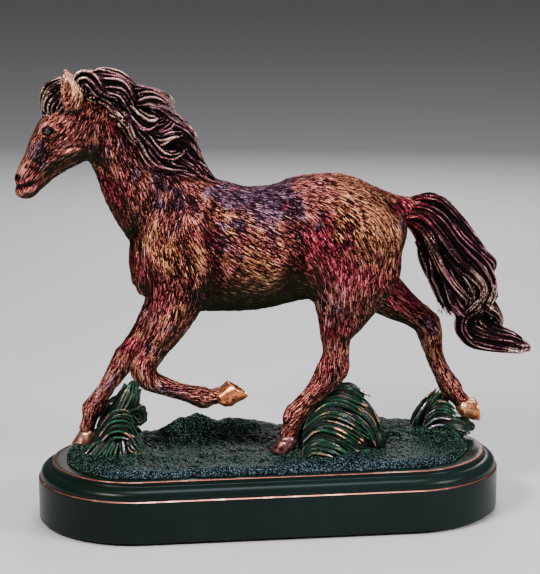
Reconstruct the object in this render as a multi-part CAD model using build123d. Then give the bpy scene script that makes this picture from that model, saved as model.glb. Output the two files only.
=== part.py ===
from build123d import *
import math
import os

# Horse statuette on an oval plinth. Millimetres, +Z up, the horse faces -X.
# The origin is the centre of the felt underside. "Near" pieces lie on -Y, "off" pieces on +Y.

# Plinth: a stadium-shaped block with a moulded shoulder and a flat deck.
PLINTH_LENGTH = 236.0
PLINTH_WIDTH = 100.0
FELT_THICKNESS = 1.5
FELT_INSET = 4.0
WALL_TOP = 23.0
MOULDING_TOP = 28.5
MOULDING_INSET = 1.2
MOULDING_ROUND = 4.5
DECK_TOP = 31.0
DECK_INSET = 7.2
DECK_ROUND = 1.2
WALL_EDGE_ROUND = 0.8

# Ground casting: a thin slab with shallow mounds, each (x, y, radius at the deck, height).
GROUND_LENGTH = 210.0
GROUND_WIDTH = 83.0
GROUND_CENTRE = -1.0
GROUND_THICKNESS = 3.5
GROUND_EDGE = 2.0
MOUNDS = [
    (-85.5, 4.0, 30.0, 6.0),
    (-40.0, 20.0, 28.0, 12.0),
    (-14.0, 20.0, 30.0, 9.0),
    (14.0, 14.0, 36.0, 7.0),
    (36.5, -8.0, 30.0, 7.0),
    (64.0, 14.0, 34.0, 8.0),
    (99.5, 8.0, 16.0, 6.5),
]

# Fixings: two wood screws from below into threaded inserts in the ground casting.
SCREW_PLACES = [(-82.0, 0.0), (38.0, -4.0)]
SCREW_SHANK_RADIUS = 1.9
SCREW_HEAD_RADIUS = 3.8
SCREW_HEAD_HEIGHT = 2.6
SCREW_SEAT = 15.0
SCREW_TIP = 34.5
COUNTERBORE_RADIUS = 5.0
INSERT_RADIUS = 3.2
INSERT_HEIGHT = 4.2
FIT_GAP = 0.05

# The figure's own sections below are measured from a point behind the plinth's centre.
FIGURE_SHIFT = -1.5

# Armature pins in the three standing legs: (foot end, leg end).
PIN_RADIUS = 1.2
PINS = [
    ((8.0, -14.0, 33.0), (12.5, -14.0, 56.0)),
    ((-92.5, 10.0, 33.5), (-87.5, 10.0, 57.0)),
    ((106.5, 16.0, 41.0), (99.0, 16.0, 58.0)),
]

# Body sections: (x, y, z, depth in the X-Z plane, width along Y), listed along each limb.
TORSO = [
    (-70.5, 0, 132, 12, 14),
    (-66, 0, 133, 28, 30),
    (-56, 0, 136, 48, 42),
    (-42, 0, 139, 60, 47),
    (-24, 0, 139.5, 64, 51),
    (-4, 0, 138.5, 61, 55),
    (16, 0, 142, 60, 54),
    (36, 0, 144.5, 61, 54),
    (52, 0, 144, 50, 50),
    (64, 0, 145, 33, 38),
    (71, 0, 147, 14, 20),
]
NECK = [
    (-36, 0, 148, 58, 42),
    (-51, 0, 159, 50, 37),
    (-64, 0, 172, 40, 30),
    (-75, 0, 186, 34, 25),
    (-84, 0, 200, 30, 21),
    (-91, 0, 210, 21, 17),
    (-96, 0, 216, 9, 10),
]
HEAD = [
    (-84, 0, 210, 12, 12),
    (-92, 0, 203, 26, 19),
    (-101, 0, 194, 27, 21),
    (-109, 0, 185, 20.5, 16),
    (-114.5, 0, 178.5, 16.5, 13),
    (-119.5, 0, 173.3, 14.5, 13),
    (-122.3, 0, 169.5, 7, 9),
]
NEAR_FOREARM = [
    (-46, -16, 127, 28, 22),
    (-47.5, -17, 113, 24.5, 19),
    (-52, -17, 103, 20, 16),
    (-58, -16.5, 93, 14, 13),
    (-62.5, -16, 85, 12.5, 12),
    (-64.5, -16, 79, 11, 11),
]
NEAR_FORE_CANNON = [
    (-65, -16, 81, 12, 12),
    (-58.5, -16, 74.5, 11, 10),
    (-50, -16, 70.8, 9.5, 8.5),
    (-42, -16, 68.3, 9.5, 8.5),
    (-35, -16, 66.2, 11.5, 9.5),
    (-29.5, -16, 65.8, 8, 8),
    (-26, -16, 66.8, 8, 8),
]
NEAR_FORE_HOOF = [
    (-27.5, -16, 67, 9, 9),
    (-23.5, -16, 67, 12.5, 13),
    (-17, -16, 66, 8.5, 13),
    (-11.5, -16, 64.5, 3, 8),
]
OFF_FORE_LEG = [
    (-47, 13, 128, 28, 20),
    (-52, 14, 114, 24, 18),
    (-59, 13, 102, 18, 15),
    (-65.5, 12, 92, 14, 13),
    (-70.5, 11, 83, 13.5, 12),
    (-74.5, 10.5, 75.5, 11, 11),
    (-79.5, 10, 68, 9, 9),
    (-84.5, 10, 60.5, 9, 8.5),
    (-88.5, 10, 54, 11, 9.5),
    (-90.5, 10, 48.5, 8.5, 8.5),
    (-91.3, 10, 44, 9, 9),
]
OFF_FORE_HOOF = [
    (-91, 10, 45.5, 9, 9),
    (-92.5, 10, 40.5, 12.5, 12.5),
    (-94, 10, 34, 15, 14),
]
NEAR_HIND_LEG = [
    (44, -13, 141, 44, 22),
    (43, -15, 123, 45, 22),
    (37.5, -15, 107, 28, 19),
    (34, -14.5, 94, 16, 14),
    (33.5, -14, 85, 13, 12),
    (30.5, -14, 75.5, 16.5, 12),
    (23.5, -14, 66.5, 12, 10),
    (16.5, -14, 59.5, 10, 9.5),
    (11.5, -14, 53, 12, 10),
    (10.3, -14, 47.5, 8.5, 9),
    (9.3, -14, 44, 9, 9),
]
NEAR_HIND_HOOF = [
    (9.5, -14, 45.5, 9.5, 9.5),
    (8, -14, 40.5, 13, 12.5),
    (6.5, -14, 34, 16, 14),
]
OFF_HIND_LEG = [
    (47, 12, 134, 40, 20),
    (59, 14.5, 116, 27, 18),
    (71, 15.5, 103.5, 18, 14),
    (80, 16, 97, 14, 12.5),
    (86.5, 16, 91, 14.5, 12),
    (88.8, 16, 83, 12, 10.5),
    (90.5, 16, 75, 9.5, 9),
    (94.5, 16, 66, 9.5, 9),
    (99, 16, 57.5, 11.5, 10),
    (103, 16, 52.5, 8.5, 9),
    (105, 16, 50, 8.5, 9),
]
OFF_HIND_HOOF = [
    (103.5, 16, 51.5, 9.5, 9.5),
    (107, 16, 47.5, 14, 13),
    (111.5, 16, 40.5, 10, 12),
    (113.5, 16, 37, 4.5, 9),
]
MANE = [
    (-97, 0, 219, 10, 12),
    (-87, 0, 220.5, 21.5, 20),
    (-77, 0, 218.5, 23, 24),
    (-66, 0, 210, 25, 26),
    (-56, 0, 201, 27, 27),
    (-46.5, 0, 191, 25, 26),
    (-37.5, 0, 181.5, 20, 24),
    (-27, 0, 173.5, 9, 16),
]
FORELOCK = [
    (-97, 0, 222, 8, 9),
    (-103.5, 0, 219, 10, 11),
    (-108, 0, 213, 8, 10),
    (-109.8, 0, 206, 4, 6),
]
TAIL = [
    (68, 0, 153, 12, 12),
    (77, 0, 154, 17, 14),
    (87, 0, 147, 23, 18),
    (95, 0, 136.5, 29, 23),
    (100, 0, 124, 34, 25),
    (103, 0, 112, 29, 23),
    (105.5, 0, 101, 24, 20),
    (110, 0, 93, 18, 16),
    (118, 0, 88, 12, 11),
    (128, 0, 84.5, 8, 8),
    (138.3, 0, 79.8, 3, 4),
]
NEAR_EAR = [
    (-97.5, -5.2, 213, 11, 8),
    (-98, -5.6, 221, 9.5, 6.5),
    (-99.3, -6, 227, 5, 4),
    (-100, -6, 230.8, 1.2, 1.2),
]
OFF_EAR = [(x, -y, z, depth, width) for x, y, z, depth, width in NEAR_EAR]
EYE_RADIUS = 2.4
EYE_CENTRE = (-107.4, 7.2, 201.0)

# Grass tufts: upright clumps behind the standing legs.
FORE_TUFT = [
    (-80, 6, 34, 44, 32),
    (-75, 8, 45, 32, 26),
    (-69, 10, 60, 15, 16),
    (-66, 10, 71.5, 3, 5),
]
NEAR_HIND_TUFT = [
    (37, -9, 34, 46, 30),
    (40, -8, 47, 38, 25),
    (42, -7, 58, 24, 18),
    (42, -7, 66, 8, 8),
]
OFF_HIND_TUFT = [
    (95, 19, 33, 30, 18),
    (94, 20, 44, 22, 15),
    (92, 21, 54, 10, 9),
    (91, 21, 60, 3, 4),
]


def unit(vector):
    length = math.sqrt(sum(part * part for part in vector))
    return tuple(part / length for part in vector)


def limb(stations):
    """One closed solid lofted through elliptical sections set square to the limb's centre line."""
    sections = []
    for index, (x, y, z, depth, width) in enumerate(stations):
        before = stations[max(index - 1, 0)]
        after = stations[min(index + 1, len(stations) - 1)]
        along = unit(tuple(after[axis] - before[axis] for axis in range(3)))
        across = unit((-along[2], 0, along[0]))
        plane = Plane(origin=(x, y, z), x_dir=across, z_dir=along)
        sections.append(plane * Ellipse(depth / 2, width / 2))
    return Pos(FIGURE_SHIFT, 0, 0) * loft(sections)


def stadium(inset):
    """Plan outline of the plinth, moved in by a distance."""
    return SlotOverall(PLINTH_LENGTH - 2 * inset, PLINTH_WIDTH - 2 * inset)


def plot(inset, height):
    """Block over the ground's plan outline, moved in by a distance, standing on the deck."""
    outline = SlotOverall(GROUND_LENGTH - 2 * inset, GROUND_WIDTH - 2 * inset)
    return Pos(GROUND_CENTRE, 0, DECK_TOP) * extrude(outline, amount=height)


def block(inset, bottom, top):
    return Pos(0, 0, bottom) * extrude(stadium(inset), amount=top - bottom)


def largest(shape):
    """Keeps the main solid and drops the slivers that a cut leaves."""
    return max(shape.solids(), key=lambda solid: solid.volume)


def cut(shape, *others):
    for other in others:
        shape = shape - other
    return largest(shape)


def rod(start, end, radius):
    length = math.dist(start, end)
    direction = unit(tuple(end[axis] - start[axis] for axis in range(3)))
    plane = Plane(origin=start, z_dir=direction)
    return plane * Cylinder(radius, length, align=(Align.CENTER, Align.CENTER, Align.MIN))


def upright(x, y, bottom, top, radius):
    return rod((x, y, bottom), (x, y, top), radius)


def make_plinth():
    wall = block(0, FELT_THICKNESS, WALL_TOP)
    wall = fillet(wall.edges().group_by(Axis.Z)[-1], WALL_EDGE_ROUND)
    moulding = block(MOULDING_INSET, WALL_TOP, MOULDING_TOP)
    moulding = fillet(moulding.edges().group_by(Axis.Z)[-1], MOULDING_ROUND)
    deck = block(DECK_INSET, MOULDING_TOP, DECK_TOP)
    deck = fillet(deck.edges().group_by(Axis.Z)[-1], DECK_ROUND)
    plinth = wall + moulding + deck
    for x, y in SCREW_PLACES:
        plinth -= upright(x, y, FELT_THICKNESS, SCREW_SEAT, COUNTERBORE_RADIUS)
        plinth -= upright(x, y, SCREW_SEAT, DECK_TOP, SCREW_SHANK_RADIUS + FIT_GAP)
    return largest(plinth)


def make_ground():
    slab = plot(0, GROUND_THICKNESS)
    slab = chamfer(slab.edges().group_by(Axis.Z)[-1], GROUND_EDGE)
    inner_plot = plot(GROUND_EDGE, PLINTH_WIDTH)
    for x, y, radius, height in MOUNDS:
        ball_radius = (radius * radius + height * height) / (2 * height)
        ball = Pos(x, y, DECK_TOP + height - ball_radius) * Sphere(ball_radius)
        slab += ball & inner_plot
    return largest(slab)


def make_screw(x, y):
    shank = upright(x, y, SCREW_SEAT, SCREW_TIP, SCREW_SHANK_RADIUS)
    head = upright(x, y, SCREW_SEAT - SCREW_HEAD_HEIGHT, SCREW_SEAT, SCREW_HEAD_RADIUS)
    return largest(shank + head)


def make_insert(x, y):
    barrel = upright(x, y, DECK_TOP, DECK_TOP + INSERT_HEIGHT, INSERT_RADIUS)
    hole = upright(x, y, DECK_TOP, DECK_TOP + INSERT_HEIGHT, SCREW_SHANK_RADIUS + FIT_GAP)
    return largest(barrel - hole)


def make_parts():
    parts = {}
    plinth = make_plinth()
    parts["plinth"] = plinth
    parts["felt_pad"] = block(FELT_INSET, 0, FELT_THICKNESS)
    parts["plinth_screws"] = Compound([make_screw(x, y) for x, y in SCREW_PLACES])
    parts["ground_inserts"] = Compound([make_insert(x, y) for x, y in SCREW_PLACES])
    insert_seats = [
        upright(x, y, DECK_TOP, DECK_TOP + INSERT_HEIGHT, INSERT_RADIUS) for x, y in SCREW_PLACES
    ]
    pins = [Pos(FIGURE_SHIFT, 0, 0) * rod(start, end, PIN_RADIUS) for start, end in PINS]
    parts["leg_pins"] = Compound([largest(pin) for pin in pins])
    ground = cut(make_ground(), *insert_seats, *pins)
    parts["ground"] = ground

    torso = limb(TORSO)
    parts["torso"] = largest(torso)
    eye_x, eye_y, eye_z = EYE_CENTRE
    eyes = {
        "near_eye": Pos(eye_x + FIGURE_SHIFT, -eye_y, eye_z) * Sphere(EYE_RADIUS),
        "off_eye": Pos(eye_x + FIGURE_SHIFT, eye_y, eye_z) * Sphere(EYE_RADIUS),
    }
    head_neck = cut(limb(NECK) + limb(HEAD), torso, *eyes.values())
    parts["head_neck"] = head_neck
    for name, eye in eyes.items():
        parts[name] = largest(eye)

    hooves = {
        "near_fore_hoof": cut(limb(NEAR_FORE_HOOF)),
        "off_fore_hoof": cut(limb(OFF_FORE_HOOF), ground, pins[1]),
        "near_hind_hoof": cut(limb(NEAR_HIND_HOOF), ground, pins[0]),
        "off_hind_hoof": cut(limb(OFF_HIND_HOOF), ground, pins[2]),
    }
    parts.update(hooves)
    near_fore = limb(NEAR_FOREARM) + limb(NEAR_FORE_CANNON)
    legs = {
        "near_fore_leg": cut(near_fore, torso, head_neck, hooves["near_fore_hoof"]),
        "off_fore_leg": cut(
            limb(OFF_FORE_LEG), torso, head_neck, hooves["off_fore_hoof"], pins[1]
        ),
        "near_hind_leg": cut(limb(NEAR_HIND_LEG), torso, hooves["near_hind_hoof"], pins[0]),
        "off_hind_leg": cut(limb(OFF_HIND_LEG), torso, hooves["off_hind_hoof"], pins[2]),
    }
    parts.update(legs)

    near_ear = cut(limb(NEAR_EAR), head_neck)
    off_ear = cut(limb(OFF_EAR), head_neck)
    forelock = cut(limb(FORELOCK), head_neck, near_ear, off_ear)
    parts["near_ear"] = near_ear
    parts["off_ear"] = off_ear
    parts["forelock"] = forelock
    parts["mane"] = cut(limb(MANE), head_neck, torso, near_ear, off_ear, forelock)
    parts["tail"] = cut(limb(TAIL), torso, legs["off_hind_leg"])

    parts["fore_tuft"] = cut(
        limb(FORE_TUFT), ground, legs["off_fore_leg"], hooves["off_fore_hoof"]
    )
    parts["near_hind_tuft"] = cut(
        limb(NEAR_HIND_TUFT), ground, legs["near_hind_leg"], hooves["near_hind_hoof"]
    )
    parts["off_hind_tuft"] = cut(
        limb(OFF_HIND_TUFT), ground, legs["off_hind_leg"], hooves["off_hind_hoof"]
    )
    return parts


os.makedirs("parts", exist_ok=True)
for name, shape in make_parts().items():
    export_step(shape, f"parts/{name}.step")
    print(name, round(shape.volume), shape.bounding_box().size)
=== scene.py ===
import math

import bmesh
import bpy
import numpy as np
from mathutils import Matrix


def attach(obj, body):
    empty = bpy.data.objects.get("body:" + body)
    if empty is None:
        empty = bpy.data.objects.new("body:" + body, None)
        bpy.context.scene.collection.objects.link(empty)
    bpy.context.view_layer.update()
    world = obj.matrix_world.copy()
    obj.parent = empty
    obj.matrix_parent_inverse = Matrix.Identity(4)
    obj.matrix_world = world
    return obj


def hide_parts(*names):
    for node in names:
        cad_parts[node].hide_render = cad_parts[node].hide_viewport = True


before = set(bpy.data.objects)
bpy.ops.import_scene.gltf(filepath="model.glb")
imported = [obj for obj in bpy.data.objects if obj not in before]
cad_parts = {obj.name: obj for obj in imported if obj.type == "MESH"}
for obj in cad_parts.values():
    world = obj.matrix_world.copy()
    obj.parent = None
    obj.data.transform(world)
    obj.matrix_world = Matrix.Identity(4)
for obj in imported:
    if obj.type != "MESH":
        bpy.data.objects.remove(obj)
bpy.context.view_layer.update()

import openvdb
from mathutils import Vector

MM = 0.001
FAR = 8.0  # the clay's distances are kept up to this many millimetres
TINY = 1e-9
FULL_TURN = 6.28  # radians
BODY_STEP = 0.62
HAIR_STEP = 0.44
FIGURE_SHIFT = -1.5  # where the figure's own origin stands, from the plinth's centre
rng = np.random.default_rng(7)


# ---------------------------------------------------------------- modelling clay

def smooth_min(a, b, blend):
    """The smaller of two distances, rounded where they meet."""
    if blend <= 0:
        return np.minimum(a, b)
    near = np.maximum(blend - np.abs(a - b), 0) / blend
    return np.minimum(a, b) - near * near * blend * 0.25


def smooth_step(value, low, high):
    share = np.clip((value - low) / (high - low), 0, 1)
    return share * share * (3 - 2 * share)


def unit(ways, least=TINY):
    """Rows scaled to a length of 1."""
    return ways / np.maximum(np.linalg.norm(ways, axis=1, keepdims=True), least)


def gap_from(points, x, z):
    """Squared distance in the X-Z plane."""
    return (points[:, 0] - x) ** 2 + (points[:, 2] - z) ** 2


def trilinear(grid, cell, share):
    """Blend of the eight grid values round each point; the grid repeats past its ends."""
    total = np.zeros(len(cell), np.float32)
    for corner in range(8):
        bits = [(corner >> axis) & 1 for axis in range(3)]
        weight = np.ones(len(cell), np.float32)
        for axis, bit in enumerate(bits):
            weight *= share[:, axis] if bit else 1 - share[:, axis]
        index = (cell + bits) % grid.shape
        total += weight * grid[index[:, 0], index[:, 1], index[:, 2]]
    return total


def spline(points, per_span=6):
    """Catmull-Rom curve through rows of numbers, with the rows' own columns kept."""
    rows = np.asarray(points, float)
    padded = np.vstack([2 * rows[0] - rows[1], rows, 2 * rows[-1] - rows[-2]])
    t = np.linspace(0, 1, per_span, endpoint=False)[:, None]
    spans = []
    for i in range(len(rows) - 1):
        a, b, c, d = padded[i:i + 4]
        bend = (2 * a - 5 * b + 4 * c - d) * t ** 2
        twist = (3 * b - a - 3 * c + d) * t ** 3
        spans.append(0.5 * (2 * b + (c - a) * t + bend + twist))
    return np.vstack(spans + [rows[-1:]])


def nearest(x, z, line):
    """Where points in the X-Z plane lie along a polyline: place, signed offset, overrun at the ends."""
    shape = np.broadcast(x, z).shape
    best = np.full(shape, 1e9, np.float32)
    place, offset, over = (np.zeros(shape, np.float32) for _ in range(3))
    last = len(line) - 2
    for i in range(last + 1):
        ax, az = line[i]
        dx, dz = line[i + 1] - line[i]
        span = math.hypot(dx, dz) + TINY
        t = ((x - ax) * dx + (z - az) * dz) / span ** 2
        inside = np.clip(t, 0, 1)
        px = x - ax - inside * dx
        pz = z - az - inside * dz
        gap = px * px + pz * pz
        closer = gap < best
        beyond = np.zeros_like(t)
        if i == 0:
            beyond = np.where(t < 0, -t * span, beyond)
        if i == last:
            beyond = np.where(t > 1, (t - 1) * span, beyond)
        flat = np.sqrt(np.maximum(gap - beyond ** 2, 0))
        best = np.where(closer, gap, best)
        place = np.where(closer, i + inside, place)
        offset = np.where(closer, flat * np.sign(dx * (z - az) - dz * (x - ax)), offset)
        over = np.where(closer, beyond, over)
    return place, offset, over


def limb_distance(x, y, z, stations):
    """Distance to a limb with elliptical sections.

    Rows: x, y, z, depth, width, egg. Egg makes a section narrower to the left of the way.
    """
    rows = spline([tuple(row) + (0,) * (6 - len(row)) for row in stations])
    flat_x, flat_z = x[:, 0, :], z[:, 0, :]
    place, offset, over = nearest(flat_x, flat_z, rows[:, [0, 2]])
    index = np.arange(len(rows))

    def along(column):
        return np.interp(place, index, rows[:, column]).astype(np.float32)

    depth = along(3) / 2
    width = along(4) / 2 * (1 - along(5) * np.clip(offset / depth, -1.2, 1.2))
    cap = np.minimum(depth, width)
    across = (y - along(1)[:, None, :]) / width[:, None, :]
    flat = ((offset / depth) ** 2 + (over / cap) ** 2)[:, None, :]
    steep = ((offset / depth ** 2) ** 2 + (over / cap ** 2) ** 2)[:, None, :]
    size = np.sqrt(flat + across ** 2)
    slope = np.sqrt(steep + (across / width[:, None, :]) ** 2)
    return ((size - 1) * size / np.maximum(slope, 1e-3)).astype(np.float32)


class Clay:
    """A block of modelling clay: a signed distance in millimetres on a regular grid."""

    def __init__(self, low, high, step, combed=False):
        self.low = np.array(low, float)
        self.step = step
        counts = np.ceil((np.array(high) - self.low) / step).astype(int) + 1
        self.axes = [(low[a] + step * np.arange(counts[a])).astype(np.float32) for a in range(3)]
        self.field = np.full(counts, FAR, np.float32)
        self.comb = np.zeros((*counts, 3), np.float32) if combed else None

    def window(self, low, high):
        """The part of the block between two corners: its slices and its x, y and z."""
        slices = []
        for axis in range(3):
            start = int((low[axis] - self.low[axis]) / self.step)
            stop = int((high[axis] - self.low[axis]) / self.step) + 2
            slices.append(slice(max(start, 0), max(min(stop, len(self.axes[axis])), 1)))
        x = self.axes[0][slices[0]][:, None, None]
        y = self.axes[1][slices[1]][None, :, None]
        z = self.axes[2][slices[2]][None, None, :]
        return tuple(slices), x, y, z

    def add_limb(self, stations, blend=0.0):
        rows = np.array([row[:5] for row in stations], float)
        reach = rows[:, 3:5].max() / 2 + FAR
        where, x, y, z = self.window(rows[:, :3].min(0) - reach, rows[:, :3].max(0) + reach)
        distance = limb_distance(x, y, z, stations)
        self.field[where] = smooth_min(self.field[where], distance, blend)

    def add_ball(self, centre, radii, blend=0.0, carve=False):
        radii = np.array(radii, float)
        centre = np.array(centre, float)
        where, x, y, z = self.window(centre - radii - FAR, centre + radii + FAR)
        parts = [(x - centre[0]) / radii[0], (y - centre[1]) / radii[1], (z - centre[2]) / radii[2]]
        size = np.sqrt(sum(part ** 2 for part in parts))
        slope = np.sqrt(sum((part / radius) ** 2 for part, radius in zip(parts, radii)))
        distance = (size - 1) * size / np.maximum(slope, 1e-3)
        if carve:
            self.field[where] = -smooth_min(-self.field[where], distance, blend)
        else:
            self.field[where] = smooth_min(self.field[where], distance, blend)

    def add_strand(self, points, radii, blend=0.3):
        """Round strand through 3-D points with a radius at each."""
        for a, b, radius_a, radius_b in zip(points[:-1], points[1:], radii[:-1], radii[1:]):
            reach = max(radius_a, radius_b) + 1.6
            where, x, y, z = self.window(np.minimum(a, b) - reach, np.maximum(a, b) + reach)
            way = b - a
            span = max(float(way @ way), TINY)
            t = ((x - a[0]) * way[0] + (y - a[1]) * way[1] + (z - a[2]) * way[2]) / span
            t = np.clip(t, 0, 1)
            gap = (x - a[0] - t * way[0]) ** 2 + (y - a[1] - t * way[1]) ** 2
            gap = np.sqrt(gap + (z - a[2] - t * way[2]) ** 2)
            distance = gap - radius_a - t * (radius_b - radius_a)
            if self.comb is not None:
                self.comb[where][distance < self.field[where]] = way / math.sqrt(span)
            self.field[where] = smooth_min(self.field[where], distance, blend)

    def relief(self, strokes, side):
        """Raises or hollows the surface on one side along strokes drawn in the X-Z plane."""
        height = np.zeros((len(self.axes[0]), len(self.axes[2])), np.float32)
        for points, reach, amount in strokes:
            line = spline(points) if len(points) > 1 else np.array(points * 2, float)
            edge = 2.4 * reach
            low = (line[:, 0].min() - edge, 0, line[:, 1].min() - edge)
            high = (line[:, 0].max() + edge, 0, line[:, 1].max() + edge)
            (across, _, up), x, _, z = self.window(low, high)
            _, offset, over = nearest(x[:, 0, :], z[:, 0, :], line)
            bump = np.exp(-(offset ** 2 + over ** 2) / reach ** 2)
            height[across, up] += amount * bump
        reach_in = smooth_step(side * self.axes[1], 2.0, 7.0)
        self.field -= height[:, None, :] * reach_in[None, :, None]

    def sample(self, points):
        """The field at points, by trilinear interpolation."""
        place = (points - self.low) / self.step
        top = np.array(self.field.shape) - 1.001
        place = np.clip(place, 0, top)
        cell = place.astype(int)
        return trilinear(self.field, cell, (place - cell).astype(np.float32))

    def combed_way(self, points):
        """Direction of the strand that each point lies on."""
        place = np.rint((points - self.low) / self.step).astype(int)
        place = np.clip(place, 0, np.array(self.field.shape) - 1)
        return self.comb[place[:, 0], place[:, 1], place[:, 2]].astype(float)

    def skin(self):
        """Vertices in millimetres and outward-facing quads of the clay's surface."""
        grid = openvdb.FloatGrid(FAR)
        grid.copyFromArray(np.clip(self.field, -FAR, FAR))
        points, quads = grid.convertToQuads(isovalue=0.0)
        points = points.astype(float) * self.step + self.low
        a, b, c = points[quads[:, 0]], points[quads[:, 1]], points[quads[:, 2]]
        volume = (a * np.cross(b, c)).sum()
        if volume < 0:
            quads = quads[:, ::-1]
        return points, quads.astype(np.int64)


def vertex_normals(points, quads):
    diagonal_a = points[quads[:, 2]] - points[quads[:, 0]]
    diagonal_b = points[quads[:, 3]] - points[quads[:, 1]]
    face = np.cross(diagonal_a, diagonal_b)
    normals = np.zeros_like(points)
    for corner in range(4):
        for axis in range(3):
            normals[:, axis] += np.bincount(quads[:, corner], face[:, axis], len(points))
    return unit(normals)


def relax(points, quads, rounds, amount=0.5):
    """Evens out the mesh: each vertex moves part of the way to the mean of its neighbours."""
    starts = quads.ravel()
    ends = np.roll(quads, -1, axis=1).ravel()
    count = np.bincount(starts, minlength=len(points)) + np.bincount(ends, minlength=len(points))
    for _ in range(rounds):
        mean = np.zeros_like(points)
        for axis in range(points.shape[1]):
            mean[:, axis] = np.bincount(starts, points[ends, axis], len(points))
            mean[:, axis] += np.bincount(ends, points[starts, axis], len(points))
        points = points + amount * (mean / count[:, None] - points)
    return points


NOISE_SIDE = 64
NOISE_START = 1000  # keeps every lattice index above 0
NOISE_BLOCK = rng.standard_normal((NOISE_SIDE,) * 3).astype(np.float32)


def noise(points, cell):
    """Smooth random values on a lattice with the given cell size in millimetres."""
    place = points / cell + NOISE_START
    base = np.floor(place).astype(int)
    share = place - base
    return trilinear(NOISE_BLOCK, base, (share * share * (3 - 2 * share)).astype(np.float32))


ARROW_REACH = 30  # square millimetres; softens the blend close to an arrow


def flow_at(points, arrows):
    """Direction in which the coat lies, blended from arrows (x, z, way x, way z)."""
    total = np.zeros((len(points), 3))
    for x, z, way_x, way_z in arrows:
        weight = 1 / (gap_from(points, x, z) + ARROW_REACH) ** 2
        length = math.hypot(way_x, way_z)
        total[:, 0] += weight * way_x / length
        total[:, 2] += weight * way_z / length
    return unit(total)


def strokes_along(points, flow, cell, length, samples=9):
    """Noise drawn out along a direction, scaled to about -1 to 1: the short strokes of a cast coat."""
    total = np.zeros(len(points), np.float32)
    for share in np.linspace(-0.5, 0.5, samples):
        total += noise(points + flow * (share * length), cell)
    return total / (total.std() + 1e-6)


SIDES = (-1, 0, 1)
SPHERE_WAYS = unit(np.array([(a, b, c) for a in SIDES for b in SIDES for c in SIDES if a or b or c], float))


def bulge(clay, points, radius):
    """Mean field on a small sphere: above 0 on ridges, below 0 in hollows, in radii."""
    total = np.zeros(len(points), np.float32)
    for way in SPHERE_WAYS:
        total += np.clip(clay.sample(points + way * radius), -radius, radius)
    return total / (len(SPHERE_WAYS) * radius)


def ranked(values):
    """Each value's rank among all of them, 0 to 1."""
    marks = np.linspace(0, 100, 101)
    return np.interp(values, np.percentile(values, marks), marks / 100)


def along_surface(way, normals):
    """Ways laid flat on the surface that has these normals."""
    return unit(way - normals * (way * normals).sum(1, keepdims=True), 1e-6)


def add_object(name, data):
    piece = bpy.data.objects.new(name, data)
    bpy.context.scene.collection.objects.link(piece)
    return piece


def add_attributes(mesh, attributes):
    """Stores values or vectors at the mesh's vertices, by name."""
    for key, values in attributes.items():
        kind, slot = ("FLOAT_VECTOR", "vector") if values.ndim == 2 else ("FLOAT", "value")
        layer = mesh.attributes.new(key, kind, "POINT")
        layer.data.foreach_set(slot, values.astype(np.float32).ravel())


def make_mesh(name, points, faces, attributes, shift=FIGURE_SHIFT):
    """Blender object from points in millimetres and quads."""
    points = points + (shift, 0, 0)
    mesh = bpy.data.meshes.new(name)
    mesh.vertices.add(len(points))
    mesh.vertices.foreach_set("co", (points * MM).astype(np.float32).ravel())
    mesh.loops.add(faces.size)
    mesh.loops.foreach_set("vertex_index", faces.astype(np.int32).ravel())
    mesh.polygons.add(len(faces))
    starts = np.arange(0, faces.size, faces.shape[1], dtype=np.int32)
    mesh.polygons.foreach_set("loop_start", starts)
    mesh.update(calc_edges=True)
    mesh.validate()
    mesh.polygons.foreach_set("use_smooth", np.full(len(faces), True))
    add_attributes(mesh, attributes)
    return add_object(name, mesh)


def band_faces(rings, columns):
    """Quads between closed rings of points."""
    faces = []
    for start in range(0, (rings - 1) * columns, columns):
        for column in range(columns):
            a = start + column
            b = start + (column + 1) % columns
            faces.append((a, b, b + columns, a + columns))
    return faces


def shell_faces(rings, columns):
    """Quads between the rings, closed by triangles to the two poles that follow them."""
    faces = band_faces(rings, columns)
    last = (rings - 1) * columns
    pole = rings * columns
    for column in range(columns):
        after = (column + 1) % columns
        faces.append((pole, after, column))
        faces.append((pole + 1, last + column, last + after))
    return faces


def make_solid(name, points, faces, attributes):
    """Blender object from points in millimetres and faces of any size, turned to face outward."""
    mesh = bpy.data.meshes.new(name)
    mesh.from_pydata([tuple(point * MM) for point in points + (FIGURE_SHIFT, 0, 0)], [], faces)
    mesh.validate()
    shell = bmesh.new()
    shell.from_mesh(mesh)
    bmesh.ops.recalc_face_normals(shell, faces=shell.faces)
    shell.to_mesh(mesh)
    shell.free()
    mesh.polygons.foreach_set("use_smooth", [True] * len(mesh.polygons))
    add_attributes(mesh, attributes)
    return add_object(name, mesh)


# ---------------------------------------------------------------- the horse

# Stations along each limb: x, y, z, depth, width and, where it isn't 0, egg.
TORSO = [
    (-69.2, 0, 133, 1.2, 1.6, 0), (-68.4, 0, 133, 14, 15, 0), (-66.2, 0, 133, 27, 27, 0),
    (-61, 0, 133.5, 41, 38, 0.05), (-50, 0, 137.5, 56, 44, 0.15), (-38, 0, 139.5, 64, 46, 0.2),
    (-24, 0, 139, 64, 49, 0.16), (-8, 0, 138, 62, 53, 0.1), (8, 0, 140.3, 60, 54, 0.06),
    (22, 0, 143, 61, 52, 0.04), (36, 0, 145.5, 59, 52, 0.02), (50, 0, 146, 49, 50, 0),
    (61, 0, 146, 35, 42, 0), (66.5, 0, 146, 25, 32, 0), (70, 0, 146, 12, 17, 0), (71, 0, 146, 1.6, 2, 0),
]
NECK = [
    (-34, 0, 146, 52, 36, -0.1), (-49, 0, 158, 50, 34, -0.15), (-62, 0, 171.5, 41, 28, -0.15),
    (-72, 0, 186.5, 31.5, 22, -0.1), (-81, 0, 199.6, 28, 19, 0), (-89, 0, 208, 24, 17, 0),
    (-94, 0, 213, 14, 13, 0),
]
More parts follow.
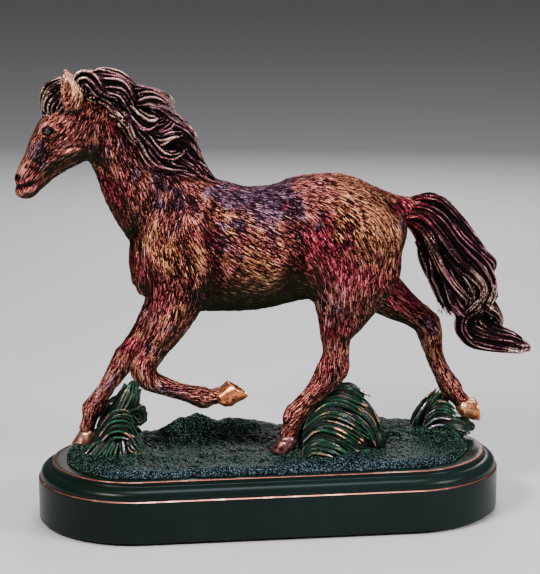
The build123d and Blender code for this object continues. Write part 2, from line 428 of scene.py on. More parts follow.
HEAD = [
    (-88, 0, 207, 16, 13, 0.1), (-94, 0, 201.8, 28.5, 18, 0.1), (-100.8, 0, 195.5, 30, 19.5, 0.15),
    (-107, 0, 189.1, 25.2, 17.5, 0.15), (-112.4, 0, 182.6, 19, 13.5, 0.1), (-117, 0, 176.7, 16, 12, 0),
    (-120, 0, 172.2, 12.5, 12, -0.1), (-121.4, 0, 170.4, 7, 8, 0),
]
NEAR_FOREARM = [
    (-43, -12, 134, 30, 18), (-45.5, -14.5, 122, 29, 19), (-48, -15.5, 112, 24, 17),
    (-52.5, -16, 102.5, 19, 14.5), (-58, -16, 93, 14.5, 12.5), (-62.5, -16, 85.5, 12.5, 12),
    (-64.2, -16, 80.5, 11.5, 11.5),
]
NEAR_FORE_CANNON = [
    (-64.3, -16, 82, 11, 11.5), (-62.5, -16, 77, 11, 11), (-57, -16, 73.6, 9.8, 9.5),
    (-49.5, -16, 70.6, 8.6, 8), (-42, -16, 68.2, 8.8, 8), (-37, -16, 66.6, 10.5, 9),
    (-33.5, -16, 65.6, 11, 9.5), (-29.5, -16, 65.8, 8, 8), (-26, -16, 66.8, 8, 8.5),
]
OFF_FORE_LEG = [
    (-42, 12, 134, 28, 18), (-45.5, 14, 118, 24, 18), (-52.3, 14, 106, 18.5, 15.5), (-60, 12.5, 95, 13, 13),
    (-66.2, 11.5, 86.5, 12, 12), (-70.8, 11, 80.5, 12.7, 12), (-75, 10.5, 74.5, 10.5, 10),
    (-79.5, 10, 67.5, 8.6, 8), (-84.3, 10, 60.5, 8.8, 8), (-88, 10, 54.5, 11, 9.5),
    (-89.6, 10, 49.5, 7.6, 7.8), (-91, 10, 45, 7.8, 8),
]
NEAR_HIND_LEG = [
    (45.5, -12, 146, 39, 20), (43.2, -14, 130, 46, 23), (39.2, -14.5, 117, 38, 21.5),
    (36, -14.5, 104.5, 26, 17), (33.3, -14.5, 95, 16, 13.5), (33.3, -14, 86.5, 13.2, 11.5),
    (31.8, -14, 78.5, 15.5, 11.5), (28.3, -14, 72, 14, 11), (23, -14, 66, 10.8, 9.5),
    (17, -14, 60, 9.3, 8.5), (12.3, -14, 54, 11.3, 9.5), (10.7, -14, 49, 8.6, 8.8),
    (9.5, -14, 44.5, 9.2, 9.2),
]
OFF_HIND_LEG = [
    (44, 12, 142, 42, 20), (51, 14, 126, 35, 20), (59.6, 15, 112.8, 25, 17.5), (70, 15.5, 104, 19, 14.5),
    (79, 16, 98, 14.3, 12), (85.5, 16, 92.5, 13.5, 11.5), (88, 16, 85.5, 12.6, 11), (89.7, 16, 77, 9.6, 9),
    (93, 16, 68.5, 9, 8.5), (97, 16, 61, 10.2, 9), (99.7, 16, 56.3, 11.3, 9.5), (103, 16, 52.3, 8.6, 8.8),
    (105, 16, 50, 8.6, 9),
]
DOCK = [(58, 0, 156, 18, 20), (68, 0, 156, 14, 14), (76, 0, 156.5, 10, 10)]
NEAR_EAR = [
    (-96, -5.8, 212.5, 10, 8), (-96.7, -7, 218.5, 11, 6.5), (-97.8, -7.6, 223.6, 8.6, 5),
    (-98.8, -7.4, 228.2, 2, 1.8),
]

# Relief strokes, each ([(x, z), ...], reach, height), on both sides of the neck and body.
BODY_RELIEF = [
    ([(-55, 167), (-58, 156), (-60, 144), (-55, 131)], 4.5, 1.9),
    ([(-54, 173), (-60, 162), (-64.5, 151), (-69, 144)], 3.6, -2.1),
    ([(-46, 164), (-49, 155), (-54, 147)], 3.4, -1.3), ([(-40, 158), (-50, 149), (-52, 134)], 4.0, 1.4),
    ([(-32, 168), (-36, 155), (-37, 144), (-34, 131), (-38, 123)], 3.4, 1.8),
    ([(-27, 160), (-29.5, 147), (-28, 136), (-30, 122)], 4.2, -2.0),
    ([(-64, 121), (-52, 120), (-37, 121)], 2.2, -1.5), ([(-44, 128), (-51, 125)], 3.0, 1.2),
    ([(-20, 163), (-8, 164), (4, 158)], 6.0, 0.9), ([(-12, 140), (0, 132)], 9.0, 1.0),
    ([(9, 158), (12, 143), (9, 124)], 5.5, -2.6), ([(17, 165), (20, 150), (19, 135), (21, 120)], 5.0, 1.4),
    ([(12, 171), (22, 172)], 4.5, 1.0), ([(36, 168), (50, 160), (57, 148)], 8.0, 0.9),
    ([(61, 158), (60, 143), (54, 127), (44, 117)], 3.0, -0.9), ([(30, 150), (36, 135)], 6.0, -0.7),
    ([(46, 150), (50, 134), (44, 120)], 7.0, 0.8),
    ([(-83, 185), (-76, 172), (-70, 160), (-65, 150)], 2.6, -1.1),
    ([(-79, 206), (-71, 192), (-63, 178), (-56, 167)], 4.0, 0.9),
    ([(-80, 192), (-72, 178), (-66, 166)], 3.0, 0.5), ([(-76, 198), (-68, 184), (-60, 172)], 1.6, -0.4),
]
HEAD_RELIEF = [
    ([(-85.5, 203), (-84.8, 196), (-87.5, 190.5)], 2.0, 0.8),
    ([(-82.5, 204), (-81.8, 196), (-84.5, 189)], 1.6, -1.0),
    ([(-112, 182.5), (-107, 186.3), (-100, 190), (-93, 191.5)], 1.3, 0.7),
    ([(-110, 178.5), (-103, 183.5), (-94, 187)], 1.5, -0.5),
    ([(-113, 202.2), (-109.5, 204.2), (-104.5, 202.6)], 1.3, 1.0),
    ([(-112, 198.6), (-108.8, 197.6), (-105.5, 199)], 1.0, 0.8),
    ([(-104.5, 201.2), (-103, 200.2)], 1.0, 0.5), ([(-113, 196), (-110.5, 190), (-113.5, 185)], 1.7, -0.8),
    ([(-102, 199), (-96, 197)], 3.5, -0.4), ([(-117, 190), (-121, 184)], 1.4, 0.4),
    ([(-124.5, 171.8), (-120, 173.6), (-115.5, 175.6)], 0.8, -1.2),
    ([(-124.8, 170), (-119, 170.2), (-114, 173)], 1.3, 0.45),
    ([(-123.5, 174), (-118.5, 176), (-114.5, 178)], 1.0, 0.4), ([(-121, 181.5), (-119.8, 178)], 1.3, 0.5),
]
NEAR_LEG_RELIEF = [
    ([(-57, 116), (-62, 107), (-66, 94)], 1.8, 0.7), ([(-51, 116), (-58, 105), (-62.5, 92)], 1.6, -0.9),
    ([(-43, 116), (-51, 105), (-59, 94)], 1.8, 0.8), ([(-46, 113), (-54, 102)], 1.0, -0.5),
    ([(-66, 84), (-66, 78)], 2.2, 0.6), ([(-58, 75.5), (-40, 69.8)], 0.9, -0.5),
    ([(31, 118), (31, 104), (33, 92)], 1.8, -0.8), ([(24, 112), (28, 97)], 2.0, 0.7),
    ([(44, 112), (38, 98), (38.5, 86)], 1.3, 0.5), ([(36.5, 94), (37, 84)], 1.2, -0.8),
    ([(39.5, 80), (36.5, 74)], 2.0, 0.8), ([(26, 79), (22, 74)], 2.0, 0.4),
    ([(31, 71), (18, 58.5)], 0.9, -0.5),
]
OFF_LEG_RELIEF = [
    ([(-56, 108), (-65, 93)], 1.8, 0.6), ([(-50, 108), (-60, 95)], 1.4, -0.7),
    ([(-74, 84), (-74, 79)], 2.2, 0.5), ([(-75, 72), (-84, 58)], 0.9, -0.5),
    ([(56, 112), (70, 101), (80, 94)], 1.8, 0.5), ([(62, 113), (74, 103), (84, 98)], 1.3, -0.7),
    ([(91, 95), (91.5, 88)], 1.8, 0.7), ([(91, 84), (96, 66)], 0.9, -0.5),
]

# How the coat lies: (x, z, way x, way z).
COAT = [
    (-122, 172, -0.6, -0.8), (-115, 183, -0.6, -0.8), (-104, 200, -0.7, -0.7), (-96, 192, -0.9, -0.35),
    (-90, 204, -0.5, -0.9), (-84, 196, 0.25, -1), (-76, 184, 0.35, -1), (-70, 168, 0.3, -1),
    (-58, 182, 0.6, -0.8), (-66, 146, 0.1, -1), (-52, 160, -0.35, -1), (-48, 135, 0.2, -1),
    (-34, 165, 0.7, -0.7), (-36, 140, 0.6, -0.8), (-18, 165, 0.95, -0.35), (-15, 145, 0.85, -0.55),
    (-10, 120, 0.95, -0.3), (8, 162, 0.9, -0.45), (8, 140, 0.85, -0.5), (8, 120, 1, -0.1),
    (26, 168, 0.85, -0.55), (24, 145, 0.45, -0.9), (28, 122, 0.15, -1), (46, 162, 0.8, -0.6),
    (44, 142, 0.5, -0.9), (44, 122, -0.1, -1), (62, 152, 0.5, -0.9), (60, 132, -0.2, -1), (34, 100, 0, -1),
    (32, 84, 0, -1), (20, 63, -0.75, -0.65), (-48, 112, -0.3, -1), (-57, 95, -0.5, -0.9),
    (-64, 80, 0.1, -1), (-50, 71, 1, -0.3), (-32, 66, 1, 0.05), (-66, 92, -0.55, -0.85),
    (-80, 68, -0.6, -0.8), (-90, 48, -0.3, -1), (62, 112, 0.8, -0.6), (80, 97, 0.8, -0.6),
    (90, 80, 0.2, -1), (98, 60, 0.5, -0.85),
]

# Where the toning turns violet, crimson or gold: (x, z, reach, amount). The violet is partly patina tone
# and partly a painted sheen, a painted reflection of cool light, mostly on the back and neck.
VIOLET_TONE_AND_SHEEN_SPOTS = [
    (-68, 188, 8, 0.7), (-48, 171, 9, 0.8), (-14, 170, 12, 0.8), (2, 171, 11, 0.6), (6, 163, 6, 0.6),
    (18, 152, 5, 0.8), (-26, 146, 6, 0.7), (-38, 118, 6, 0.6), (-60, 104, 6, 0.5), (28, 112, 7, 0.6),
    (34, 72, 6, 0.5), (-50, 71, 6, 0.5), (-80, 66, 6, 0.5), (-113, 190, 6, 0.6), (84, 96, 6, 0.5),
    (64, 152, 5, 0.6), (-86, 190, 5, 0.5),
]
CRIMSON = [
    (-82, 172, 8, 0.8), (-79, 158, 8, 0.8), (-68, 134, 8, 0.6), (-60, 118, 8, 0.7), (-30, 150, 6, 0.6),
    (24, 146, 8, 0.9), (27, 130, 9, 0.9), (33, 100, 9, 0.6), (-70, 90, 8, 0.6), (70, 106, 10, 0.9),
    (50, 122, 9, 0.5), (68, 158, 6, 0.8), (-78, 200, 5, 0.7), (30, 70, 8, 0.5), (-122, 173, 4, 0.5),
]
GOLD = [
    (46, 163, 14, 0.8), (58, 146, 11, 0.8), (34, 150, 8, 0.5), (-12, 150, 12, 0.5), (-62, 194, 8, 0.5),
    (-55, 182, 8, 0.5), (-62, 142, 8, 0.7), (-48, 136, 8, 0.6), (-5, 124, 8, 1.1), (-36, 140, 7, 0.5),
    (-27, 157, 5, 0.7), (-48, 110, 8, 0.4), (-66, 84, 6, 0.6), (92, 80, 8, 0.4), (-97.5, 222, 6, 0.8),
]
# Spots painted brighter (above 0) or darker (below 0): partly rubbed patina, partly painted highlights and
# painted shade, such as the lit nose ridge, lips and leg edges, and the shade round the eye, in the mouth
# and nostril and under the belly.
PAINTED_LIGHT_AND_PATINA_SPOTS = [
    (-10, 168, 10, -0.08), (8, 169, 10, -0.08), (-26, 146, 7, -0.25), (-27, 117, 9, -0.35),
    (-12, 112, 9, -0.35), (4, 113, 9, -0.35), (15, 129, 7, -0.32), (14, 117, 8, -0.32), (-6, 125, 7, 0.22),
    (-27, 157, 5, 0.25), (60, 150, 8, 0.22), (58, 136, 8, 0.08), (44, 164, 9, 0.02), (24, 166, 8, 0.04),
    (34, 126, 11, 0.26), (-113, 205, 3.5, 0.4), (-117, 197, 3.5, 0.5), (-120, 190, 3.5, 0.45),
    (-123.5, 182, 3.5, 0.45), (-96, 222, 6, 0.45), (-113, 190, 5, -0.2), (-86, 189, 5, -0.3),
    (-74, 190, 8, -0.15), (-70, 172, 7, -0.12), (-92, 208, 5, -0.15), (-100, 189, 5, 0.12),
    (-54, 146, 5, 0.18), (-46, 160, 9, -0.1), (-50, 136, 8, -0.05), (-66, 145, 4, -0.15),
    (-38, 120, 6, -0.3), (96, 66, 6, 0.1), (36, 88, 7, 0.04), (-40, 69, 8, -0.18),
    (46, 110, 7, -0.15), (66, 122, 7, -0.25), (-72, 168, 5, 0.08), (-75, 74, 4, 0.1),
    (-108.8, 200.4, 3.6, -0.95), (-111, 205.2, 2.0, 0.4), (-124.3, 177.6, 1.9, -0.8),
    (-122.5, 179.8, 2.0, 0.25), (-124.5, 172.2, 1.2, -0.7), (-122.3, 173.0, 1.2, -0.7),
    (-120, 173.8, 1.2, -0.7), (-117.6, 174.8, 1.2, -0.6), (-123.8, 169.4, 1.7, 0.4),
    (-121, 170.2, 1.7, 0.4), (-118, 171.2, 1.7, 0.35), (-85, 64, 3, 0.45), (-81, 70, 3, 0.35),
    (-56, 106, 3, 0.35), (-52, 113, 4, 0.3), (-64, 98, 5, -0.3), (-62, 72, 6, 0.15), (-106, 190, 5, -0.12),
    (-100, 198, 12, 0.2), (-74, 176, 12, 0.14), (38, 118, 14, 0.22), (68, 110, 9, 0.26), (94, 72, 12, 0.1),
]


# Size, length and depth of the coat's strokes.
COAT_CELL = 0.72
COAT_LENGTH = 2.8
COAT_DEPTH = 0.15
# Hollows on both sides of the head: (x, distance from the middle, z), three radii, softness.
HEAD_HOLLOWS = {
    "ear": ((-99.4, 10, 220), (2.6, 2.4, 6.0), 0.8),
    "eye": ((-108.6, 9.3, 200.6), (2.9, 2.2, 2.2), 0.8),
    "nostril": ((-124.2, 4.6, 177.6), (1.3, 2.2, 1.9), 0.7),
}
CHIN = ((-119.2, 0, 170.1), (4.6, 4.6, 3.8), 2.0)


def tint(points, spots, seed_shift):
    """Share of a toning colour at points: strong in its spots, with a ragged edge; the violet one is partly
    a painted sheen.
    """
    total = 0.5 * noise(points + seed_shift, 5.0)
    for x, z, reach, amount in spots:
        total = total + 1.7 * amount * np.exp(-gap_from(points, x, z) / (1.35 * reach) ** 2)
    return smooth_step(total, 0.35, 1.25)


def painted_light_and_patina_at(points):
    """How much brighter each point is painted by the spots: rubbed patina, painted highlights and painted
    shade.
    """
    total = np.zeros(len(points))
    for x, z, reach, amount in PAINTED_LIGHT_AND_PATINA_SPOTS:
        total += amount * np.exp(-gap_from(points, x, z) / reach ** 2)
    return total


def sculpt_horse():
    clay = Clay((-130, -34, 40), (118, 34, 236), BODY_STEP)
    for stations, blend in ((TORSO, 0), (NECK, 9), (HEAD, 3.5), (DOCK, 5)):
        clay.add_limb(stations, blend)
    for side in (-1, 1):
        clay.relief(BODY_RELIEF, side)
    for stations, blend in ((NEAR_FOREARM, 5), (NEAR_FORE_CANNON, 2.5), (OFF_FORE_LEG, 5),
                            (NEAR_HIND_LEG, 6), (OFF_HIND_LEG, 6)):
        clay.add_limb(stations, blend)
    for strokes, side in ((HEAD_RELIEF, -1), (HEAD_RELIEF, 1), (NEAR_LEG_RELIEF, -1), (OFF_LEG_RELIEF, 1)):
        clay.relief(strokes, side)
    for side in (-1, 1):
        clay.add_limb([(x, side * -y, z, depth, width) for x, y, z, depth, width in NEAR_EAR], 1.5)
        for (x, out, z), radii, blend in HEAD_HOLLOWS.values():
            clay.add_ball((x, side * out, z), radii, blend, carve=True)
    clay.add_ball(*CHIN)
    points, quads = clay.skin()
    points = relax(points, quads, 2)
    normals = vertex_normals(points, quads)
    flow = along_surface(flow_at(points, COAT), normals)
    coat = strokes_along(points, flow, COAT_CELL, COAT_LENGTH)
    face = smooth_step(-points[:, 0], 100, 116) * smooth_step(points[:, 2], 160, 170)
    depth = COAT_DEPTH * (1 - 0.6 * face)
    points = points + normals * (np.clip(coat, -2, 2) * depth)[:, None]
    return make_mesh("horse_skin", points, quads, {
        "coat": coat,
        "ridge": ranked(bulge(clay, points, 2.2)),
        "broad": ranked(bulge(clay, points, 7.5)),
        "up": normals[:, 2],
        # painted highlights and painted shade from the spots, with rubbed patina
        "painted_light_and_patina": painted_light_and_patina_at(points),
        "flow": flow,
        # violet: partly patina tone, partly painted sheen
        "violet_tone_and_sheen": tint(points, VIOLET_TONE_AND_SHEEN_SPOTS, 11.0),
        "crimson": tint(points, CRIMSON, 57.0),
        "gold": tint(points, GOLD, 93.0),
    })


# ---------------------------------------------------------------- hair

def wander(count, strength):
    """A slow random walk, smoothed, starting near 0."""
    window = 9
    steps = rng.normal(0, 1, count + window - 1)
    return strength * np.convolve(steps, np.ones(window) / window, mode="valid")


def add_lock(clay, guide, strands, spread, thick, radius, wave=0.5, blunt=0.35):
    """A lock of hair: strands side by side along a guide of (x, y, z), spread across it and in depth."""
    line = spline(guide, 5)
    count = len(line)
    share = np.linspace(0, 1, count)
    way = unit(np.gradient(line, axis=0))
    across = unit(np.stack([-way[:, 2], np.zeros(count), way[:, 0]], axis=1))
    deep = np.cross(way, across)
    gather = np.sqrt(np.clip(1.15 - share, 0, 1)) * (0.55 + 0.45 * np.minimum(share / 0.2, 1))
    swing = rng.uniform(6, 9) * share + rng.uniform(0, FULL_TURN)
    line = line + across * (1.5 * wave * np.sin(swing) * np.minimum(share / 0.2, 1))[:, None]
    for place in np.linspace(-1, 1, strands):
        phase = rng.uniform(0, FULL_TURN)
        sway = wave * np.sin(share * rng.uniform(5, 9) + phase) + wander(count, wave)
        side = spread * place * gather + sway
        raised = thick * (1 - place ** 2) * gather + rng.uniform(-0.8, 0.8) * thick
        path = line + across * side[:, None] + deep * raised[:, None]
        end = count - int(rng.uniform(0, blunt) * count * 0.5)
        taper = np.clip(np.linspace(1, 0, end) * 2.2, 0.3, 1)
        taper *= np.clip(np.linspace(0, 1, end) * 6 + 0.6, 0, 1)
        size = radius * rng.uniform(0.8, 1.2) * taper
        clay.add_strand(path[:end], size, 0.25)


# Near-side locks of the mane, each a guide of (x, y, z) from root to tip.
MANE_LOCKS = [
    [(-95, -7, 224), (-92, -8, 228), (-88, -9, 227), (-84, -10, 223), (-79, -11, 221), (-74, -11, 219),
     (-71, -11, 213)],
    [(-91, -6, 228.5), (-87, -8, 227), (-84, -9, 223.5), (-81, -10, 221.5), (-77, -10, 222.5),
     (-72, -10, 221), (-69, -10, 215), (-68, -10, 211)],
    [(-88, -5, 228), (-81, -7, 227), (-75, -8, 226), (-71, -8, 223), (-67, -8, 218), (-62, -8, 216)],
    [(-93, -1, 226), (-86, -2, 228), (-80, -3, 228), (-74, -3, 227), (-69, -4, 224), (-64, -4, 221),
     (-56, -5, 220), (-50, -5, 217), (-47, -5, 212.5)],
    [(-70, -8, 217), (-64, -8, 216), (-58, -8, 217.5), (-52.5, -8, 217), (-48.5, -8, 213.5),
     (-47.5, -8, 208)],
    [(-72, -10, 212), (-68, -11, 207), (-62, -11, 203), (-57, -10, 203), (-53, -9, 206)],
    [(-69, -9, 214), (-64, -10, 210), (-58, -10, 206), (-54, -9, 206.5), (-50, -8, 210)],
    [(-73, -11, 208), (-68, -12, 203), (-64, -12, 198), (-59, -12, 195)],
    [(-67, -10, 206), (-60, -11, 199), (-54, -11, 197), (-48, -10, 200), (-43, -9, 201)],
    [(-57, -3, 212), (-51, -4, 207), (-45, -5, 204.5), (-40, -5, 201), (-37.5, -4, 196), (-37, -4, 190)],
    [(-65, -12, 200), (-60, -13, 193), (-55, -13, 187), (-49, -12, 183), (-43, -11, 181), (-36, -8, 178)],
    [(-58, -9, 197), (-52, -9, 190), (-45, -9, 185), (-38, -8, 181.5), (-33, -7, 177.5), (-28, -5, 173.5),
     (-23, -3, 171)],
    [(-54, -6, 201), (-48, -7, 195), (-42, -7, 190), (-37, -6, 185), (-32, -5, 180), (-28, -4, 175.5)],
    [(-67, -11, 205), (-60, -12, 196), (-53, -12, 191), (-46, -11, 190), (-40, -9, 192)],
    [(-48, -4, 200), (-43, -5, 195), (-38, -5, 190), (-35, -4, 185), (-31, -3, 179)],
    [(-83, -8, 217), (-78, -10, 216), (-74, -11, 212), (-72, -11, 207)],
]
MANE_FILL = [
    (0, 1), (1, 2), (3, 4), (7, 10), (8, 12), (10, 11), (9, 14), (13, 10), (6, 8),
]
MANE_STAND = 2.3
MANE_CORE = [
    (-94, 0, 216, 8, 9), (-86, 0, 216.5, 15, 13), (-77, 0, 214, 17, 16), (-67, 0, 206, 18, 18),
    (-57, 0, 197, 20, 19), (-47, 0, 188, 19, 18), (-38, 0, 180.5, 14, 16), (-28, 0, 172.5, 6, 10),
]
FORELOCK_LOCKS = [
    [(-97, -4, 218.5), (-100, -5.5, 217.5), (-103, -6.5, 213.5), (-104, -7, 209)],
    [(-98, -3, 220.5), (-102, -5, 219.5), (-105.5, -6, 215.5), (-107, -6.5, 211), (-107, -6.5, 207)],
    [(-97, -3, 222), (-102, -5, 222.5), (-107, -6, 220), (-109.5, -6, 215), (-109.5, -6, 209)],
    [(-98, -1, 223), (-103, -1.5, 223), (-108, -2, 220), (-111, -2.5, 215), (-111.5, -3, 210)],
    [(-98, 2, 223), (-103, 2, 222.5), (-108, 2, 219), (-111, 1.5, 213.5), (-111.5, 0.5, 207.5)],
    [(-97, 4, 222), (-102, 5, 221.5), (-106.5, 5.5, 218.5), (-109, 5, 213.5), (-109.5, 4, 208)],
]
FORELOCK_CORE = [
    (-96, 0, 219, 7, 8), (-101.5, 0, 217, 11, 11), (-105.5, 0, 212.5, 11, 11), (-107.5, 0, 208.5, 7, 9),
]
TAIL_LOCKS = [
    [(69, 0, 157.5), (76, 0, 160), (83, 0, 160.8), (89, 0, 158.5), (94, -1, 153.5), (99, -1, 147.5),
     (104, -1, 141.5), (109, -1, 135.5), (113, -1, 130), (115.5, -1, 124), (116, -1, 119)],
    [(70, -3, 156), (78, -5, 157), (85, -6, 153.5), (90, -7, 148.5), (96, -8, 140), (102, -8, 133.5),
     (108, -8, 127.5), (112.5, -7, 121), (114.5, -6, 114.5), (113, -6, 108), (107, -6, 103), (102, -5, 99)],
    [(70, -5, 153), (77, -7, 153.5), (82, -8, 149.5), (87, -9, 143.5), (92, -10, 136.5), (98, -10, 129.5),
     (104, -10, 124), (109, -9, 118), (110, -8, 112), (106, -7, 106), (101, -6, 101)],
    [(70, -4, 153), (76, -6, 150), (81, -9, 144), (84.5, -10, 136), (88.5, -11, 128), (93, -11, 121),
     (98, -10, 115), (103, -9, 110)],
    [(70, -2, 152), (76, -4, 147), (80.5, -5, 139), (82.5, -6, 130), (84, -6, 123), (86.5, -6, 116.5),
     (89, -5, 111), (89.5, -4, 105.5), (89, -2, 101)],
    [(84, -6, 130), (87, -8, 122.5), (90, -8, 115.5), (92, -7, 109), (94.5, -6, 103), (98, -5, 100)],
    [(88, -8, 126), (91.5, -9, 118), (94.5, -9, 110.5), (98, -8, 104), (102, -6, 100.5)],
    [(107, -4, 103), (101, -5, 100), (100, -5, 94.5), (105, -4, 88), (113, -3, 84.8), (123, -2, 82.3),
     (131, -1, 80.5), (137, 0, 80.2)],
    [(110, -3, 104), (104, -5, 100), (103.5, -5, 95), (111, -4, 90.5), (119, -3, 87.5), (127, -2, 85.3),
     (133, -1, 82.6), (137, 0, 80.6)],
    [(113, 1, 104), (109, 0, 99), (112, 0, 94.5), (118, 0, 91), (125, 0, 88.8), (130, 0, 86.3),
     (134.5, 0, 83.3), (137, 0, 81)],
    [(114, 3, 107), (117.5, 3, 101.5), (120, 3, 97), (121, 3, 93.5), (120, 2, 91)],
    [(72, 3, 157), (79, 5, 157), (86, 7, 152), (92, 8, 144), (98, 9, 136), (104, 9, 129), (109, 9, 121),
     (110, 8, 113), (106, 7, 106), (103, 5, 100)],
    [(71, 4, 153), (77, 7, 152), (82, 9, 146), (87, 10, 138), (91, 11, 130), (96, 11, 122), (100, 10, 115),
     (103, 8, 108)],
    [(71, 4, 152), (77, 6, 147), (81, 7, 139), (83, 8, 130), (86, 8, 122), (89, 7, 115), (92, 6, 108)],
    [(108, 4, 104), (103, 5, 99), (103, 5, 94), (109, 4, 89), (118, 3, 86), (127, 2, 84), (134, 1, 81.8)],
]
TAIL_CURLS = [
    [(106, -4, 138), (110.5, -5, 133.5), (114, -4, 130), (116, -3, 126.5), (115.5, -2, 123),
     (113, -2, 121.5)],
    [(110, -5, 108), (114, -6, 104), (118, -5, 101), (120.5, -4, 98), (120, -3, 95)],
]
TAIL_FILL = [
    (0, 1), (1, 2), (2, 3), (3, 4), (4, 5), (1, 6), (0, 11), (11, 12), (12, 13), (7, 8), (8, 9),
]
TAIL_CORE = [
    (67, 0, 156, 7, 8), (76, 0, 155.5, 10, 10), (86, 0, 149, 15, 12), (94, 0, 137, 21, 14),
    (98.5, 0, 125, 24, 15), (101, 0, 114, 20, 13), (102, 0, 104, 13, 10), (106, 0, 94, 9, 8),
    (115, 0, 88, 5, 6),
]


# Centre and radii of the lumps that close the tail's gaps behind its curls.
TAIL_PLUGS = [
    ((114.5, 0, 110), (5.2, 2.6, 4.2)), ((115, 0, 99), (3.6, 2.2, 5)), ((127, 0, 86.5), (6, 1.8, 2)),
]


def strand_piece(name, clay, crest, root=None):
    """Piece made of strands or blades; crest is the size of what counts as standing proud."""
    points, quads = clay.skin()
    points = relax(points, quads, 1)
    normals = vertex_normals(points, quads)
    comb = relax(clay.combed_way(points), quads, 6)
    ridge = relax(bulge(clay, points, crest)[:, None], quads, 1)[:, 0]
    attributes = {
        "ridge": ranked(ridge),
        "broad": ranked(bulge(clay, points, 4.5)),
        "flow": along_surface(comb, normals),
    }
    if root is not None:
        gap = np.linalg.norm(points - np.array(root), axis=1)
        attributes["root"] = 1 - smooth_step(gap, 8, 26)
    return make_mesh(name, points, quads, attributes)


def mirrored(guide):
    """The far side's lock for a near one, a little nearer the middle."""
    return [(x + 1.0, -y * 0.95, z - 0.5) for x, y, z in guide]


def lowered(guide):
    """A guide of the mane moved down by the strands' standing height, less near the withers."""
    return [(x, y, z - MANE_STAND * min(1, (z - 168) / 30)) for x, y, z in guide]


def evenly(guide, count=10):
    """A guide's curve as this many points, evenly along its rows."""
    row = spline(guide, 4)
    steps = np.linspace(0, 1, count)
    own = np.linspace(0, 1, len(row))
    return np.stack([np.interp(steps, own, row[:, axis]) for axis in range(3)], axis=1)


def halfway(first, last):
    """A guide between two others, set a little deeper."""
    guide = evenly(first) * 0.5 + evenly(last) * 0.5
    return guide * (1, 0.9, 1)


def make_mane():
    clay = Clay((-100, -18, 166), (-18, 18, 231.2), HAIR_STEP, combed=True)
    clay.add_limb(MANE_CORE)
    for first, last in MANE_FILL:
        guide = lowered(halfway(MANE_LOCKS[first], MANE_LOCKS[last]))
        add_lock(clay, guide, 5, 3.0, 1.0, 0.75, 0.5)
        add_lock(clay, mirrored(guide), 5, 3.0, 1.0, 0.75, 0.5)
    for guide in map(lowered, MANE_LOCKS):
        add_lock(clay, guide, 6, 3.3, 1.5, 0.74, 0.5)
        add_lock(clay, mirrored(guide), 6, 3.4, 1.5, 0.8, 0.45)
    return strand_piece("mane_hair", clay, 1.3)


def make_forelock():
    clay = Clay((-116, -12, 202), (-92, 12, 229), HAIR_STEP, combed=True)
    clay.add_limb(FORELOCK_CORE)
    for guide in FORELOCK_LOCKS:
        add_lock(clay, guide, 5, 2.2, 1.0, 0.78, 0.3)
    return strand_piece("forelock_hair", clay, 1.2)


def make_tail():
    clay = Clay((64, -17, 74), (138.2, 17, 164), HAIR_STEP, combed=True)
    clay.add_limb(TAIL_CORE)
    for centre, radii in TAIL_PLUGS:
        clay.add_ball(centre, radii, 1)
    for first, last in TAIL_FILL:
        add_lock(clay, halfway(TAIL_LOCKS[first], TAIL_LOCKS[last]), 6, 3.4, 1.0, 0.8, 0.4, 0.2)
    for guide in TAIL_LOCKS:
        add_lock(clay, guide, 6, 3.4, 1.5, 0.82, 0.3, 0.2)
    for guide in TAIL_CURLS:
        add_lock(clay, guide, 4, 1.6, 0.8, 0.7, 0.2, 0.1)
    return strand_piece("tail_hair", clay, 1.3, (68, 0, 156))


# ---------------------------------------------------------------- grass

def between(first, last, share):
    """Points part of the way from one guide to the next."""
    return np.asarray(first, float) * (1 - share) + np.asarray(last, float) * share


def add_fan(clay, guides, counts, radius, heart, sway=0.7):
    """Blades of grass laid side by side between guide blades, each standing off the clump's heart."""
    for first, last, count in zip(guides[:-1], guides[1:], counts):
        for number in range(count):
            share = (number + rng.uniform(-0.4, 0.4)) / count
            blade = between(first, last, share) + rng.normal(0, sway, 3) * 0.5
            outward = blade.mean(0) - heart
            blade = blade + outward / np.linalg.norm(outward) * rng.uniform(-0.9, 0.7)
            blade[-1] += rng.normal(0, sway, 3) * (1.3, 1.0, 1.2)
            line = spline(blade, 6)
            line = line[:int(len(line) * rng.uniform(0.86, 1.0))]
            along = np.linspace(0, 1, len(line))
            taper = np.minimum(along * 4 + 0.45, 1) * np.clip((1.04 - along) * 3, 0.42, 1)
            size = radius * rng.uniform(0.7, 1.15) * taper
            clay.add_strand(line, size, 0.12)
            way = unit(np.gradient(line, axis=0))
            crest = along_surface(np.broadcast_to(outward, line.shape), way)
            clay.add_strand(line + crest * (0.85 * size)[:, None], 0.36 * size + 0.06, 0.1)


def turned_back(guides, middle):
    """The same blades on the far side of a clump."""
    return [[(x + 0.8, 2 * middle - y, z - 0.4) for x, y, z in guide] for guide in guides]


